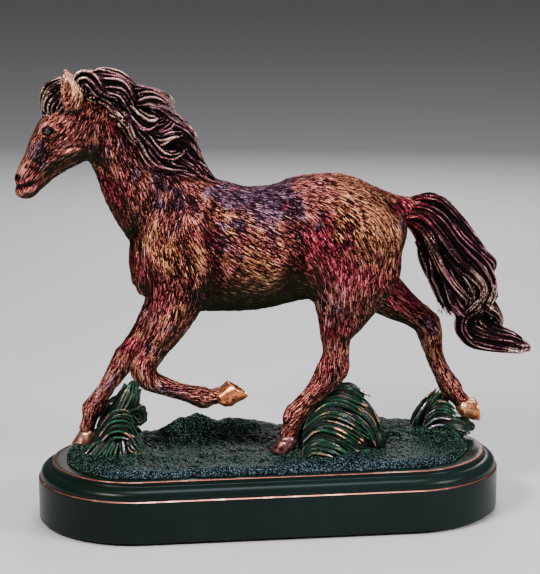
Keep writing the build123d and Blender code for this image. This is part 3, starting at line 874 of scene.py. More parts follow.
NEAR_HIND_BLADES = [
    [(23, -8, 57), (32, -9, 66), (42, -9, 67), (50.5, -8, 61.5)],
    [(20, -13, 52), (29, -15, 61.5), (39, -15, 61.5), (52, -12, 54)],
    [(17, -17, 47), (27, -20, 55), (38, -21, 53), (54, -17, 40)],
    [(15.5, -20, 41), (22, -22.5, 47.5), (32, -24, 46), (49, -22, 34)],
    [(15.5, -22, 36), (21, -25, 41.5), (29, -26, 40.5), (43, -26, 32.5)],
    [(16, -23, 31.5), (20, -26, 34.5), (27, -27.5, 33.5), (37, -28, 31)],
]
NEAR_HIND_OUTER_BLADES = [
    [(43, -8, 62), (50, -8, 58), (55.5, -7, 50), (59.5, -6, 38)],
    [(42, -13, 58), (48, -14, 54), (53.5, -14, 47), (58, -13, 35)],
    [(40, -18, 52), (45, -19, 48), (50, -19, 42), (54.5, -18, 33)],
]
NEAR_HIND_CORE = [(35, -9, 34, 37, 25), (35, -9, 45, 34, 22), (37, -9, 55, 25, 16), (39, -9, 61, 18, 9)]
NEAR_HIND_HEART = (34, -9, 44)

OFF_HIND_LEFT_BLADES = [
    [(85, 14, 36), (86, 13, 44), (89.5, 13, 51), (94, 14, 58)],
    [(82, 15, 35), (82, 14, 41), (85, 13, 48), (90, 14, 55)],
    [(79, 16, 34), (79, 15, 38), (81, 14, 43), (85, 14, 48)],
]
OFF_HIND_RIGHT_BLADES = [
    [(87, 12, 47), (91, 11, 51), (97, 11, 50), (103, 13, 45)],
    [(84, 11, 40), (90, 9.5, 45), (97, 9.5, 44), (105, 12, 38)],
    [(84, 10, 35), (90, 8, 38.5), (97, 8, 38), (104, 11, 34)],
]
OFF_HIND_LOW_BLADES = [
    [(93, 10, 43), (99, 8.5, 42.5), (105, 10, 40), (109.5, 13, 36)],
    [(92, 9, 39), (99, 8, 38), (105, 9, 36), (109.5, 12, 33)],
    [(91, 9, 35), (97, 8, 35), (103, 8.5, 33.5), (108, 11, 32)],
]
OFF_HIND_CORE = [(92, 18, 33, 19, 14), (93, 18, 42, 15, 11), (95, 18, 50, 8, 7), (97, 18, 55, 3, 4)]
OFF_HIND_SPUR = [(98, 15, 35, 14, 12), (106, 15, 36.5, 10, 10), (110, 15.5, 36, 5, 6)]
OFF_HIND_HEART = (93, 18, 40)

FORE_RISING_BLADES = [
    [(-83, 2, 38), (-80, 0, 49), (-75, 2, 60), (-71, 5, 69)],
    [(-77, -1, 40), (-75, -1.5, 51), (-69.5, 1.5, 61), (-67, 5, 70.5)],
    [(-71, 0, 42), (-67, 0.5, 51), (-65, 2, 59), (-63.5, 5, 67)],
]
FORE_ARCS = [
    [(-86, -1, 47), (-79, -5, 57), (-71, -6, 57), (-66, -5, 48)],
    [(-86, -4, 42), (-80, -8, 50), (-72, -9, 50), (-67, -7, 42)],
    [(-84, -6, 38), (-79, -10, 43), (-73, -11, 43), (-68, -9, 37)],
]
FORE_SPRAY = [
    [(-84, -3, 42), (-90, -5, 40), (-94, -6, 36), (-97, -7, 33)],
    [(-81, -6, 43), (-85, -9, 40), (-89, -11, 36), (-91, -12, 33)],
    [(-77, -8, 43), (-79, -11, 40), (-81, -13, 36), (-82, -14, 33)],
    [(-73, -8, 44), (-71, -11, 41), (-69, -12, 38), (-67, -12, 35)],
    [(-70, -6, 46), (-65, -8, 43), (-62, -8, 40), (-58.5, -7, 37)],
]
FORE_CORE = [
    (-78, 5, 33, 25, 20), (-76, 5, 43, 21, 15), (-72, 6, 53, 14, 11), (-69, 7, 61, 9.5, 7),
    (-67, 8, 67, 5.5, 5),
]
FORE_HEART = (-76, 4, 42)
SCROLL_CENTRE = (-66.2, 0.0, 52.9)
SCROLL_RADIUS = 5.0
SCROLL_TURNS = 1.6


def scroll_blade(depth, start):
    """A blade curled into a spiral at one depth."""
    angle = start - np.linspace(0, SCROLL_TURNS, 12) * 2 * math.pi
    radius = np.linspace(SCROLL_RADIUS, 1.2, 12)
    x = SCROLL_CENTRE[0] + radius * np.cos(angle)
    z = SCROLL_CENTRE[2] + radius * np.sin(angle)
    return np.stack([x, np.full(12, SCROLL_CENTRE[1] + depth), z], axis=1)


def make_near_hind_tuft():
    clay = Clay((11, -30, 31.2), (66, 12, 73), HAIR_STEP, combed=True)
    clay.add_limb(NEAR_HIND_CORE)
    clay.add_ball((55, -8, 38), (5.5, 8, 8), 2)
    for blades in (NEAR_HIND_OUTER_BLADES, turned_back(NEAR_HIND_OUTER_BLADES, -9)):
        add_fan(clay, blades, (4, 4), 1.1, NEAR_HIND_HEART)
    for blades in (NEAR_HIND_BLADES, turned_back(NEAR_HIND_BLADES, -9)):
        add_fan(clay, blades, (6, 7, 7, 7, 7), 1.15, NEAR_HIND_HEART)
    top = [NEAR_HIND_BLADES[0], turned_back(NEAR_HIND_BLADES[:1], -9)[0]]
    add_fan(clay, top, (7,), 1.1, NEAR_HIND_HEART)
    return strand_piece("near_hind_grass", clay, 0.9)


def make_off_hind_tuft():
    clay = Clay((74, 2, 31.2), (112, 34, 64), HAIR_STEP, combed=True)
    clay.add_limb(OFF_HIND_CORE)
    clay.add_limb(OFF_HIND_SPUR, 2)
    for guides in (OFF_HIND_LEFT_BLADES, OFF_HIND_RIGHT_BLADES):
        add_fan(clay, guides, (6, 6), 0.95, OFF_HIND_HEART, 0.5)
        add_fan(clay, turned_back(guides, 18), (6, 6), 0.95, OFF_HIND_HEART, 0.5)
    add_fan(clay, OFF_HIND_LOW_BLADES, (5, 5), 0.9, OFF_HIND_HEART, 0.5)
    return strand_piece("off_hind_grass", clay, 0.9)


def make_fore_tuft():
    clay = Clay((-102, -20, 31.2), (-54, 24, 74), HAIR_STEP, combed=True)
    clay.add_limb(FORE_CORE)
    add_fan(clay, FORE_RISING_BLADES, (7, 7), 1.2, FORE_HEART, 0.35)
    add_fan(clay, turned_back(FORE_RISING_BLADES, 7), (7, 7), 1.2, FORE_HEART, 0.35)
    add_fan(clay, FORE_ARCS, (9, 8), 0.85, FORE_HEART, 1.1)
    add_fan(clay, turned_back(FORE_ARCS, 6), (8, 8), 0.85, FORE_HEART, 1.1)
    add_fan(clay, FORE_SPRAY, (7, 7, 7, 6), 0.8, FORE_HEART, 0.9)
    add_fan(clay, turned_back(FORE_SPRAY, 6), (6, 6, 6, 6), 0.85, FORE_HEART, 0.9)
    for depth, start in ((-3.0, 2.4), (0.5, 2.0), (4.0, 1.6)):
        blade = scroll_blade(depth, start)
        clay.add_strand(blade, np.linspace(1.4, 0.8, len(blade)), 0.15)
    return strand_piece("fore_grass", clay, 0.9)


# ---------------------------------------------------------------- ground

DECK_TOP = 31.0
GROUND_LENGTH = 209.0
GROUND_WIDTH = 81.0
GROUND_CENTRE = -0.6
GROUND_THICKNESS = 3.6
GRAIN_HEIGHT = 0.36
# Mounds on the ground: (x, y, radius, height).
MOUNDS = [
    (-85.5, 4, 26, 3.0), (-99, 2, 8, 2.0), (-46, 22, 14, 6.0), (-38, 22, 12, 5.5), (-31.5, 22, 9, 5.0),
    (-17, 24, 18, 7.0), (-6, 24, 14, 2.6), (16, 20, 20, 4.0), (36.5, -8, 26, 3.0), (62, 20, 22, 4.0),
    (88, 14, 18, 3.0), (104, 12, 9, 1.5), (-60, -14, 16, 1.0), (0, -10, 30, 0.8),
]


def make_ground():
    clay = Clay((-108, -43, DECK_TOP - 1), (106, 43, DECK_TOP + 20), BODY_STEP)
    x = clay.axes[0][:, None]
    y = clay.axes[1][None, :]
    flat_x, flat_y = (part.ravel() for part in np.broadcast_arrays(x, y))
    plan = np.stack([flat_x, flat_y, np.zeros_like(flat_x)], axis=1)
    lumps = (noise(plan, 9.0) * 0.45 + noise(plan, 4.0) * 0.35).reshape(x.size, y.size)
    straight = (GROUND_LENGTH - GROUND_WIDTH) / 2
    end_gap = np.maximum(np.abs(x - GROUND_CENTRE) - straight, 0)
    ragged = noise(plan + 77, 7.0).reshape(x.size, y.size)
    edge = np.hypot(end_gap, y) - GROUND_WIDTH / 2 + 0.8 + np.clip(ragged, -1.2, 1.2) * 0.8
    height = DECK_TOP + GROUND_THICKNESS + lumps
    for mound_x, mound_y, radius, rise in MOUNDS:
        gap = (x - mound_x) ** 2 + (y - mound_y) ** 2
        height = height + rise * np.exp(-gap / (0.75 * radius) ** 2)
    height = height - 3.4 * smooth_step(edge, -5.0, 0.5)
    z = clay.axes[2][None, None, :]
    body = -smooth_min(-(z - height[:, :, None]), -edge[:, :, None], 2.0)
    clay.field = np.maximum(body, DECK_TOP - z).astype(np.float32)
    points, quads = clay.skin()
    points = relax(points, quads, 1)
    normals = vertex_normals(points, quads)
    on_top = smooth_step(normals[:, 2], -0.2, 0.3)
    grain = 0.75 * noise(points, 0.95) + 0.45 * noise(points + 19, 1.7)
    points = points + normals * (np.clip(grain, -1.6, 1.6) * GRAIN_HEIGHT * on_top)[:, None]
    points[:, 2] = np.maximum(points[:, 2], DECK_TOP)
    return make_mesh("ground_grain", points, quads, {
        "grain": grain,
        "ridge": ranked(bulge(clay, points, 3.0)),
        "edge": smooth_step(np.abs(points[:, 1]), 20, 40),
    }, shift=0)


# ---------------------------------------------------------------- plinth

PLINTH_LENGTH = 236.0
PLINTH_WIDTH = 100.0
FELT_TOP = 1.5
WALL_TOP = 22.6
MOULDING_TOP = 28.4
DECK_INSET = 7.2
ARC_POINTS = 7


def quarter(centre, radii, start, stop, count=ARC_POINTS):
    """Points (inset, z) along part of an ellipse, in degrees."""
    angles = np.radians(np.linspace(start, stop, count))
    return [(centre[0] - radii[0] * math.cos(a), centre[1] + radii[1] * math.sin(a)) for a in angles]


def plan_ring(inset, height, segments=56):
    """Oval outline, moved in by a distance, at one height."""
    radius = PLINTH_WIDTH / 2 - inset
    middle = (PLINTH_LENGTH - PLINTH_WIDTH) / 2
    ring = []
    for turn, side in ((-90, 1), (90, -1)):
        for angle in np.radians(turn + np.linspace(0, 180, segments)):
            ring.append((side * middle + radius * math.cos(angle), radius * math.sin(angle), height))
    return ring


def swept(name, profile, lined=()):
    """Closed oval solid from a profile of (inset, z), bottom to top; lined bands are copper."""
    rings = [plan_ring(inset, height) for inset, height in profile]
    count = len(rings[0])
    bands = band_faces(len(rings), count)
    bottom = tuple(reversed(range(count)))
    top = tuple(range((len(rings) - 1) * count, len(rings) * count))
    marks = [0] + [int(level in lined) for level in range(len(rings) - 1) for _ in range(count)] + [0]
    mesh = bpy.data.meshes.new(name)
    points = [tuple(MM * part for part in point) for ring in rings for point in ring]
    mesh.from_pydata(points, [], [bottom] + bands + [top])
    mesh.polygons.foreach_set("material_index", marks)
    mesh.polygons.foreach_set("use_smooth", [True] * len(marks))
    mesh.validate()
    return add_object(name, mesh)


def make_plinth():
    profile = [(1.4, FELT_TOP), (0.9, FELT_TOP)]
    profile += quarter((0.9, FELT_TOP + 0.9), (0.9, 0.9), -90, 0)[1:]
    profile += [(0, 8), (0, 15), (0, WALL_TOP - 0.8)]
    profile += quarter((0.45, WALL_TOP - 0.45), (0.45, 0.45), 0, 60, 4)
    lower_line = len(profile) - 1
    profile += [(0.95, WALL_TOP + 0.3), (1.1, WALL_TOP + 0.55), (1.05, WALL_TOP + 1.3)]
    profile += quarter((6.2, WALL_TOP + 1.6), (5.15, MOULDING_TOP - WALL_TOP - 1.6), 4, 84, 10)
    profile += [
        (6.6, MOULDING_TOP + 0.1), (DECK_INSET, MOULDING_TOP + 0.5), (DECK_INSET + 0.1, MOULDING_TOP + 1.2),
        (DECK_INSET - 0.1, MOULDING_TOP + 1.8),
    ]
    profile += quarter((DECK_INSET + 0.4, DECK_TOP - 0.55), (0.45, 0.5), 0, 50, 4)
    upper_line = len(profile) - 1
    profile.append((DECK_INSET + 0.9, DECK_TOP - 0.05))
    profile += [(DECK_INSET + inset, DECK_TOP) for inset in (1.3, 3)]
    return swept("plinth_lacquer", profile, (lower_line, upper_line - 1, upper_line))


def make_felt():
    profile = [(4.6, 0), (4.2, 0.1), (4.0, 0.35), (4.0, 1.15), (4.2, 1.4), (4.6, FELT_TOP)]
    return swept("felt_base", profile)


# ---------------------------------------------------------------- hooves and eyes

HOOF_SEGMENTS = 56
HOOF_NOTCH_TOP = 8
# Each ring of a hoof: height above the sole, toe reach, heel reach, half width, shift towards the toe.
HOOF_RINGS = [
    (1.5, 0.3, 0.3, 0.3, 0.5), (1.3, 2.2, 2.0, 2.2, 0.4), (1.1, 4.4, 3.6, 4.2, 0.2),
    (0.9, 5.5, 4.4, 5.1, 0.1), (0.1, 6.1, 4.9, 5.6, 0.0), (0.0, 6.6, 5.3, 6.0, 0.0),
    (0.35, 7.0, 5.6, 6.4, 0.0), (1.5, 7.0, 5.7, 6.4, -0.2), (3.2, 6.7, 5.6, 6.2, -0.7),
    (5.0, 6.35, 5.4, 5.95, -1.3), (6.6, 6.0, 5.2, 5.7, -1.9), (7.6, 5.85, 5.1, 5.6, -2.3),
    (8.2, 6.05, 5.3, 5.8, -2.5), (8.9, 5.7, 5.0, 5.5, -2.8), (10.5, 4.3, 4.0, 4.3, -3.2),
    (11.2, 1.5, 1.5, 1.5, -3.4),
]


def make_hoof(name, centre, sole, toe, scale, violet_tone_and_sheen):
    """Hoof with its sole's middle at centre, the sole facing along sole and the toe pointing along toe."""
    sole = np.array(sole, float) / np.linalg.norm(sole)
    toe = np.array(toe, float) - sole * np.dot(toe, sole)
    toe /= np.linalg.norm(toe)
    side = np.cross(sole, toe)
    angles = np.linspace(0, 2 * math.pi, HOOF_SEGMENTS, endpoint=False)
    ahead = np.cos(angles)
    rows = []
    for height, front, back, half, move in HOOF_RINGS:
        reach = np.where(ahead > 0, front, back) * ahead + move
        width = half * np.sin(angles)
        drop = 0.22 * np.clip(-ahead, 0, 1) * height
        notch = 0.9 * np.exp(-((angles - math.pi) / 0.22) ** 2) * (height < HOOF_NOTCH_TOP)
        rows.append(np.outer(reach + notch, toe) + np.outer(width, side) - np.outer(height - drop, sole))
    points = scale * np.vstack(rows) + centre
    outward = unit(points - points.mean(0))
    level = (points - centre) @ -sole
    rough = 0.16 * noise(points, 1.6) + 0.10 * np.sin(level * 4.2 + noise(points, 4.0))
    points = points + outward * np.clip(rough, -0.35, 0.35)[:, None]
    points = np.vstack([points, points[:HOOF_SEGMENTS].mean(0), points[-HOOF_SEGMENTS:].mean(0)])
    faces = shell_faces(len(HOOF_RINGS), HOOF_SEGMENTS)
    return make_solid(name, points, faces, {"violet_tone_and_sheen": np.full(len(points), violet_tone_and_sheen)})


EYE_CENTRE = (-108.6, 6.7, 200.6)
EYE_RADIUS = 2.1
EYE_FLATTENING = 0.95


def make_eye(name, side):
    """Glossy eyeball, slightly flattened, with a shallow pupil dimple."""
    rings, columns = 27, 40
    points = []
    for ring in range(1, rings + 1):
        polar = math.pi * ring / (rings + 1)
        across = math.sin(polar)
        dimple = 0.12 * math.exp(-((math.pi - polar) / 0.3) ** 2)
        outward = -(1 - dimple) * math.cos(polar) * EYE_FLATTENING
        for column in range(columns):
            turn = 2 * math.pi * column / columns
            points.append((across * math.cos(turn), side * outward, across * math.sin(turn)))
    points += [(0, side * -EYE_FLATTENING, 0), (0, side * EYE_FLATTENING * 0.88, 0)]
    points = np.array(points) * EYE_RADIUS + np.array(EYE_CENTRE) * (1, side, 1)
    return make_solid(name, points, shell_faces(rings, columns), {})


# ---------------------------------------------------------------- materials

def attribute(tree, name, output="Fac"):
    node = tree.nodes.new("ShaderNodeAttribute")
    node.attribute_name = name
    return node.outputs[output]


def connect(tree, value, socket):
    """Links a socket's value, or sets a number, vector or colour."""
    if isinstance(value, tuple):
        socket.default_value = value if len(socket.default_value) == len(value) else (*value, 1)
    elif isinstance(value, (int, float)):
        socket.default_value = value
    else:
        tree.links.new(value, socket)


def set_inputs(node, values):
    for name, value in values.items():
        connect(node.id_data, value, node.inputs[name])


def math_node(tree, operation, a, b):
    node = tree.nodes.new("ShaderNodeMath")
    node.operation = operation
    connect(tree, a, node.inputs[0])
    connect(tree, b, node.inputs[1])
    return node.outputs[0]


def weighted(tree, terms, offset=0.0):
    """Sum of socket times weight over the terms, plus an offset."""
    total = offset
    for socket, weight in terms:
        total = math_node(tree, "ADD", math_node(tree, "MULTIPLY", socket, weight), total)
    return total


def share_between(tree, value, low, high):
    """0 below low, 1 above high, smooth between."""
    node = tree.nodes.new("ShaderNodeMapRange")
    node.interpolation_type = "SMOOTHSTEP"
    connect(tree, value, node.inputs[0])
    node.inputs[1].default_value = low
    node.inputs[2].default_value = high
    return node.outputs[0]


def mix_colour(tree, factor, a, b, mode="MIX"):
    node = tree.nodes.new("ShaderNodeMix")
    node.data_type = "RGBA"
    node.blend_type = mode
    node.clamp_factor = True
    connect(tree, factor, node.inputs[0])
    connect(tree, a, node.inputs[6])
    connect(tree, b, node.inputs[7])
    return node.outputs[2]


def noise_node(tree, scale, detail=2.0, place=None, stretch=None):
    """Noise over object coordinates in metres."""
    if place is None:
        place = tree.nodes.new("ShaderNodeTexCoord").outputs["Object"]
    if stretch:
        mapping = tree.nodes.new("ShaderNodeMapping")
        set_inputs(mapping, {"Vector": place, "Scale": stretch})
        place = mapping.outputs["Vector"]
    node = tree.nodes.new("ShaderNodeTexNoise")
    set_inputs(node, {"Scale": scale, "Detail": detail, "Vector": place})
    return node.outputs["Fac"]


def streaks(tree, scale, length, samples=7):
    """Noise drawn out along the flow attribute: short strokes, 0.5 in the middle."""
    place = tree.nodes.new("ShaderNodeTexCoord").outputs["Object"]
    flow = attribute(tree, "flow", "Vector")
    total = 0.0
    for share in np.linspace(-0.5, 0.5, samples):
        move = tree.nodes.new("ShaderNodeVectorMath")
        move.operation = "MULTIPLY_ADD"
        for socket, value in zip(move.inputs, (flow, (share * length,) * 3, place)):
            connect(tree, value, socket)
        total = math_node(tree, "ADD", noise_node(tree, scale, 0.0, move.outputs[0]), total)
    return math_node(tree, "MULTIPLY", total, 1 / samples)


def new_material(name, metallic=0.0, roughness=0.5):
    material = bpy.data.materials.new(name)
    material.use_nodes = True
    shader = material.node_tree.nodes["Principled BSDF"]
    set_inputs(shader, {"Metallic": metallic, "Roughness": roughness})
    return material, material.node_tree, shader


def add_bump(tree, shader, height, strength, distance):
    bump = tree.nodes.new("ShaderNodeBump")
    set_inputs(bump, {"Strength": strength, "Distance": distance, "Height": height})
    tree.links.new(bump.outputs["Normal"], shader.inputs["Normal"])


def tones(tree, level, dark, middle, bright, marks):
    """Dark below, middle, and bright above; marks are where the two changes start and end."""
    colour = mix_colour(tree, share_between(tree, level, marks[0], marks[1]), dark, middle)
    return mix_colour(tree, share_between(tree, level, marks[2], marks[3]), colour, bright)


def toned(tree, base, tints):
    """A base colour shifted towards each (attribute, colour) where that attribute is strong."""
    colour = base
    for name, tint_colour in tints:
        colour = mix_colour(tree, attribute(tree, name), colour, tint_colour)
    return colour


# Old bronze stays dark where it turns away from the eye.
EDGE_TINT = (0.30, 0.22, 0.22, 1.0)


def coat_bronze():
    """The coat: near-black between strokes, toned copper on them, rubbed bright where it stands proud;
    painted lighter on top, painted shade underneath, and painted highlights and shade from the spots.
    """
    material, tree, shader = new_material("bronze", 0.9)
    strokes = streaks(tree, 2750, 0.0026)
    up = attribute(tree, "up")
    # The level is painted lighter on up-facing parts and brighter or darker by the spots' painted
    # highlights and painted shade.
    level = weighted(tree, [
        (strokes, 13.0), (attribute(tree, "coat"), 0.05), (attribute(tree, "ridge"), 0.52),
        (attribute(tree, "broad"), 0.34), (up, 0.14), (noise_node(tree, 90, 3), 0.5),
        (attribute(tree, "painted_light_and_patina"), 1.1),
    ], -7.19)
    # Painted shade: down-facing parts turn darker and greener, and rougher.
    underside_shade = share_between(tree, up, 0.1, -0.8)
    # The violet tone in the middle and bright colours is partly a painted sheen.
    middle = toned(tree, (0.2, 0.028, 0.034), (
        ("gold", (0.28, 0.06, 0.022)), ("violet_tone_and_sheen", (0.075, 0.03, 0.066)), ("crimson", (0.22, 0.01, 0.032)),
    ))
    middle = mix_colour(tree, underside_shade, middle, (0.022, 0.02, 0.01))
    bright = toned(tree, (0.87, 0.28, 0.2), (
        ("gold", (0.97, 0.44, 0.215)), ("violet_tone_and_sheen", (0.4, 0.2, 0.3)), ("crimson", (0.76, 0.09, 0.15)),
    ))
    bright = mix_colour(tree, underside_shade, bright, (0.15, 0.09, 0.06))
    bright = mix_colour(tree, share_between(tree, level, 1.1, 1.9), bright, (0.98, 0.72, 0.54))
    dark = mix_colour(tree, underside_shade, (0.006, 0.002, 0.002), (0.022, 0.024, 0.014))
    polish = share_between(tree, level, 0.3, 1.0)
    set_inputs(shader, {
        "Base Color": tones(tree, level, dark, middle, bright, (0.20, 0.52, 0.58, 0.95)),
        "Roughness": weighted(tree, [(polish, -0.14), (underside_shade, 0.3)], 0.46),
        "Specular Tint": EDGE_TINT,
    })
    add_bump(tree, shader, strokes, 0.9, 0.0011)
    return material


def hair_bronze_finish():
    """Hair: black between the strands, thin rubbed copper, rose and cream lines on their crests."""
    material, tree, shader = new_material("hair_bronze", 0.85)
    strands = streaks(tree, 1900, 0.010, 11)
    level = weighted(tree, [
        (attribute(tree, "ridge"), 1.45), (attribute(tree, "broad"), 0.15), (strands, 4.5),
        (noise_node(tree, 160, 2), 0.5),
    ], -3.1)
    root = attribute(tree, "root")
    middle = mix_colour(tree, root, (0.042, 0.012, 0.022), (0.22, 0.012, 0.028))
    rosy = share_between(tree, noise_node(tree, 60, 1), 0.35, 0.65)
    bright = mix_colour(tree, rosy, (0.97, 0.62, 0.42), (0.72, 0.22, 0.3))
    bright = mix_colour(tree, root, bright, (0.82, 0.15, 0.18))
    bright = mix_colour(tree, share_between(tree, level, 0.98, 1.25), bright, (0.99, 0.8, 0.64))
    polish = share_between(tree, level, 0.5, 1.0)
    set_inputs(shader, {
        "Base Color": tones(tree, level, (0.002, 0.0015, 0.0015), middle, bright, (0.54, 0.74, 0.80, 1.0)),
        "Roughness": weighted(tree, [(polish, -0.18)], 0.48),
        "Specular Tint": EDGE_TINT,
    })
    add_bump(tree, shader, strands, 0.8, 0.0008)
    return material


def grass_finish():
    """Dark green blades, copper showing on the rubbed edges, and a few painted lavender glints on them,
    painted reflections.
    """
    material, tree, shader = new_material("grass_green", 0.3)
    veins = streaks(tree, 1300, 0.008)
    ridge = attribute(tree, "ridge")
    level = weighted(tree, [
        (ridge, 0.9), (attribute(tree, "broad"), 0.10), (veins, 1.6), (noise_node(tree, 120, 2), 0.5),
    ], -1.05)
    leaf = mix_colour(tree, noise_node(tree, 70, 1), (0.003, 0.026, 0.008), (0.004, 0.018, 0.018))
    tip = (0.014, 0.085, 0.036)
    colour = tones(tree, level, (0.001, 0.002, 0.0015), leaf, tip, (0.42, 0.70, 0.74, 1.0))
    # Painted glints: on some worn edges the copper gives way to lavender, a painted reflection.
    painted_glint_share = share_between(tree, noise_node(tree, 55, 1), 0.5, 0.68)
    copper_and_painted_glint = mix_colour(tree, painted_glint_share, (0.86, 0.42, 0.24), (0.52, 0.5, 0.64))
    edges = share_between(tree, weighted(tree, [(ridge, 1.0), (veins, 0.5)], -0.25), 0.80, 0.92)
    wear_and_painted_glint = math_node(tree, "MULTIPLY", edges, share_between(tree, noise_node(tree, 110, 1), 0.49, 0.58))
    set_inputs(shader, {
        "Base Color": mix_colour(tree, wear_and_painted_glint, colour, copper_and_painted_glint),
        "Metallic": weighted(tree, [(wear_and_painted_glint, 0.6)], 0.2),
        "Roughness": weighted(tree, [(share_between(tree, level, 0.3, 1.0), -0.2)], 0.46),
        "Specular IOR Level": 0.25,
    })
    add_bump(tree, shader, veins, 0.5, 0.0005)
    return material


def ground_finish():
    """Stippled dark green, bluer and rubbed paler on the grains."""
    material, tree, shader = new_material("ground_green")
    speckle = noise_node(tree, 1500, 0)
    level = weighted(tree, [
        (attribute(tree, "grain"), 0.10), (attribute(tree, "ridge"), 0.20), (speckle, 4.2),
        (noise_node(tree, 60, 2), 0.6),
    ], -2.24)
    middle = mix_colour(tree, noise_node(tree, 30, 1), (0.007, 0.024, 0.013), (0.009, 0.022, 0.028))
    bright = mix_colour(tree, attribute(tree, "edge"), (0.05, 0.11, 0.08), (0.07, 0.11, 0.145))
    set_inputs(shader, {
        "Base Color": tones(tree, level, (0.0004, 0.001, 0.0008), middle, bright, (0.32, 0.66, 0.64, 1.12)),
        "Specular IOR Level": 0.05,
    })
    add_bump(tree, shader, speckle, 0.7, 0.0006)
    return material


def lacquer_finish():
    """Gloss black lacquer with a green depth and faint handling marks."""
    material, tree, shader = new_material("black_lacquer")
    depth = share_between(tree, noise_node(tree, 14, 3), 0.35, 0.65)
    set_inputs(shader, {
        "Base Color": mix_colour(tree, depth, (0.003, 0.008, 0.005), (0.005, 0.012, 0.011)),
        "Roughness": weighted(tree, [(noise_node(tree, 220, 4), 0.14)], 0.22),
        "Specular IOR Level": 0.11,
    })
    add_bump(tree, shader, noise_node(tree, 500, 2), 0.05, 0.0002)
    return material


def line_finish():
    """Hand-rubbed copper line: bright with worn dark gaps."""
    material, tree, shader = new_material("copper_line", 0.9, 0.35)
    wear = noise_node(tree, 130, 4)
    marks = (0.24, 0.38, 0.5, 0.72)
    colour = tones(tree, wear, (0.11, 0.03, 0.022), (0.48, 0.14, 0.09), (0.9, 0.48, 0.37), marks)
    set_inputs(shader, {"Base Color": colour})
    add_bump(tree, shader, wear, 0.2, 0.0002)
    return material


def hoof_finish():
    """Rubbed copper hooves, toned violet by their violet attribute: partly patina tone, partly painted
    reflection, the violet-white glints of a lit hoof.
    """
    material, tree, shader = new_material("hoof_copper", 0.9)
    rings = noise_node(tree, 420, 3)
    level = weighted(tree, [(rings, 0.7), (noise_node(tree, 130, 3), 1.0)], -0.35)
    # Violet here is partly tone, partly painted reflection: painted glints.
    violet_tone_and_sheen = attribute(tree, "violet_tone_and_sheen")
    middle = mix_colour(tree, violet_tone_and_sheen, (0.7, 0.24, 0.09), (0.16, 0.09, 0.15))
    bright = mix_colour(tree, violet_tone_and_sheen, (0.99, 0.64, 0.38), (0.62, 0.47, 0.56))
    set_inputs(shader, {
        "Base Color": tones(tree, level, (0.09, 0.018, 0.01), middle, bright, (0.26, 0.44, 0.48, 0.80)),
        "Roughness": weighted(tree, [(rings, 0.3)], 0.16),
    })
    add_bump(tree, shader, rings, 0.4, 0.0005)
    return material


def eye_finish():
    material, tree, shader = new_material("eye_black", 0.0, 0.06)
    colour = mix_colour(tree, noise_node(tree, 900, 2), (0.002, 0.002, 0.002), (0.014, 0.008, 0.007))
    set_inputs(shader, {"Base Color": colour, "Coat Weight": 0.6})
    return material


def felt_finish():
    material, tree, shader = new_material("felt", 0.0, 0.95)
    fibres = noise_node(tree, 1600, 4, stretch=(1.0, 0.45, 1.0))
    colour = mix_colour(tree, fibres, (0.006, 0.008, 0.007), (0.03, 0.034, 0.031))
    set_inputs(shader, {"Base Color": colour, "Sheen Weight": 0.4})
    add_bump(tree, shader, fibres, 0.8, 0.0004)
    return material


def plain_metal(name, dark, pale, roughness, stretch):
    """Turned or drawn metal with fine tool marks, for the hidden fixings."""
    material, tree, shader = new_material(name, 1.0, roughness)
    marks = noise_node(tree, 900, 3, stretch=stretch)
    set_inputs(shader, {"Base Color": mix_colour(tree, marks, dark, pale)})
    add_bump(tree, shader, marks, 0.25, 0.0001)
    return material


# ---------------------------------------------------------------- camera, light, floor

CAMERA_TARGET = (0.00025, 0, 0.11776)
CAMERA_ANGLES = (-7.81, 12.80)  # azimuth and elevation in degrees
CAMERA_DISTANCE = 1.2
CAMERA_LENS = 149.2


def add_camera():
    azimuth, elevation = map(math.radians, CAMERA_ANGLES)
    back = Vector((
        math.sin(azimuth) * math.cos(elevation),
        -math.cos(azimuth) * math.cos(elevation),
        math.sin(elevation),
    ))
    camera = add_object("camera", bpy.data.cameras.new("camera"))
    camera.location = Vector(CAMERA_TARGET) + back * CAMERA_DISTANCE
    camera.rotation_euler = back.to_track_quat("Z", "Y").to_euler()
    camera.data.sensor_width = 36
    camera.data.sensor_fit = "AUTO"
    camera.data.lens = CAMERA_LENS
    camera.data.clip_start = 0.01
    bpy.context.scene.camera = camera


def add_area(name, place, aim, size, energy, colour):
    light = bpy.data.lights.new(name, "AREA")
    light.shape = "RECTANGLE"
    light.size, light.size_y = size
    light.energy = energy
    light.color = colour
    lamp = add_object(name, light)
    lamp.location = place
    lamp.rotation_euler = (Vector(place) - Vector(aim)).to_track_quat("Z", "Y").to_euler()


def add_studio():
    mesh = bpy.data.meshes.new("floor")
    side = 4.0
    corners = [(-side, -side, 0), (side, -side, 0), (side, side, 0), (-side, side, 0)]
    mesh.from_pydata(corners, [], [(0, 1, 2, 3)])
    material, _, shader = new_material("floor", 0.0, 0.7)
    set_inputs(shader, {"Base Color": (0.52, 0.52, 0.52)})
    mesh.materials.append(material)
    add_object("floor", mesh)
    world = bpy.data.worlds.new("studio")
    world.use_nodes = True
    set_inputs(world.node_tree.nodes["Background"], {"Color": (0.60, 0.60, 0.66), "Strength": 0.16})
    bpy.context.scene.world = world
    aim = (0, 0, 0.12)
    add_area("key", (-0.60, -0.55, 0.75), aim, (0.30, 0.22), 14, (1.0, 0.94, 0.86))
    add_area("side", (0.75, -0.60, 0.60), aim, (0.25, 0.30), 11, (1.0, 0.95, 0.92))
    add_area("top", (0.05, -0.05, 0.95), aim, (0.45, 0.40), 9, (0.80, 0.83, 1.0))
    add_area("back", (0.2, 0.9, 0.5), aim, (0.5, 0.4), 5, (1.0, 0.96, 0.92))


add_camera()
add_studio()

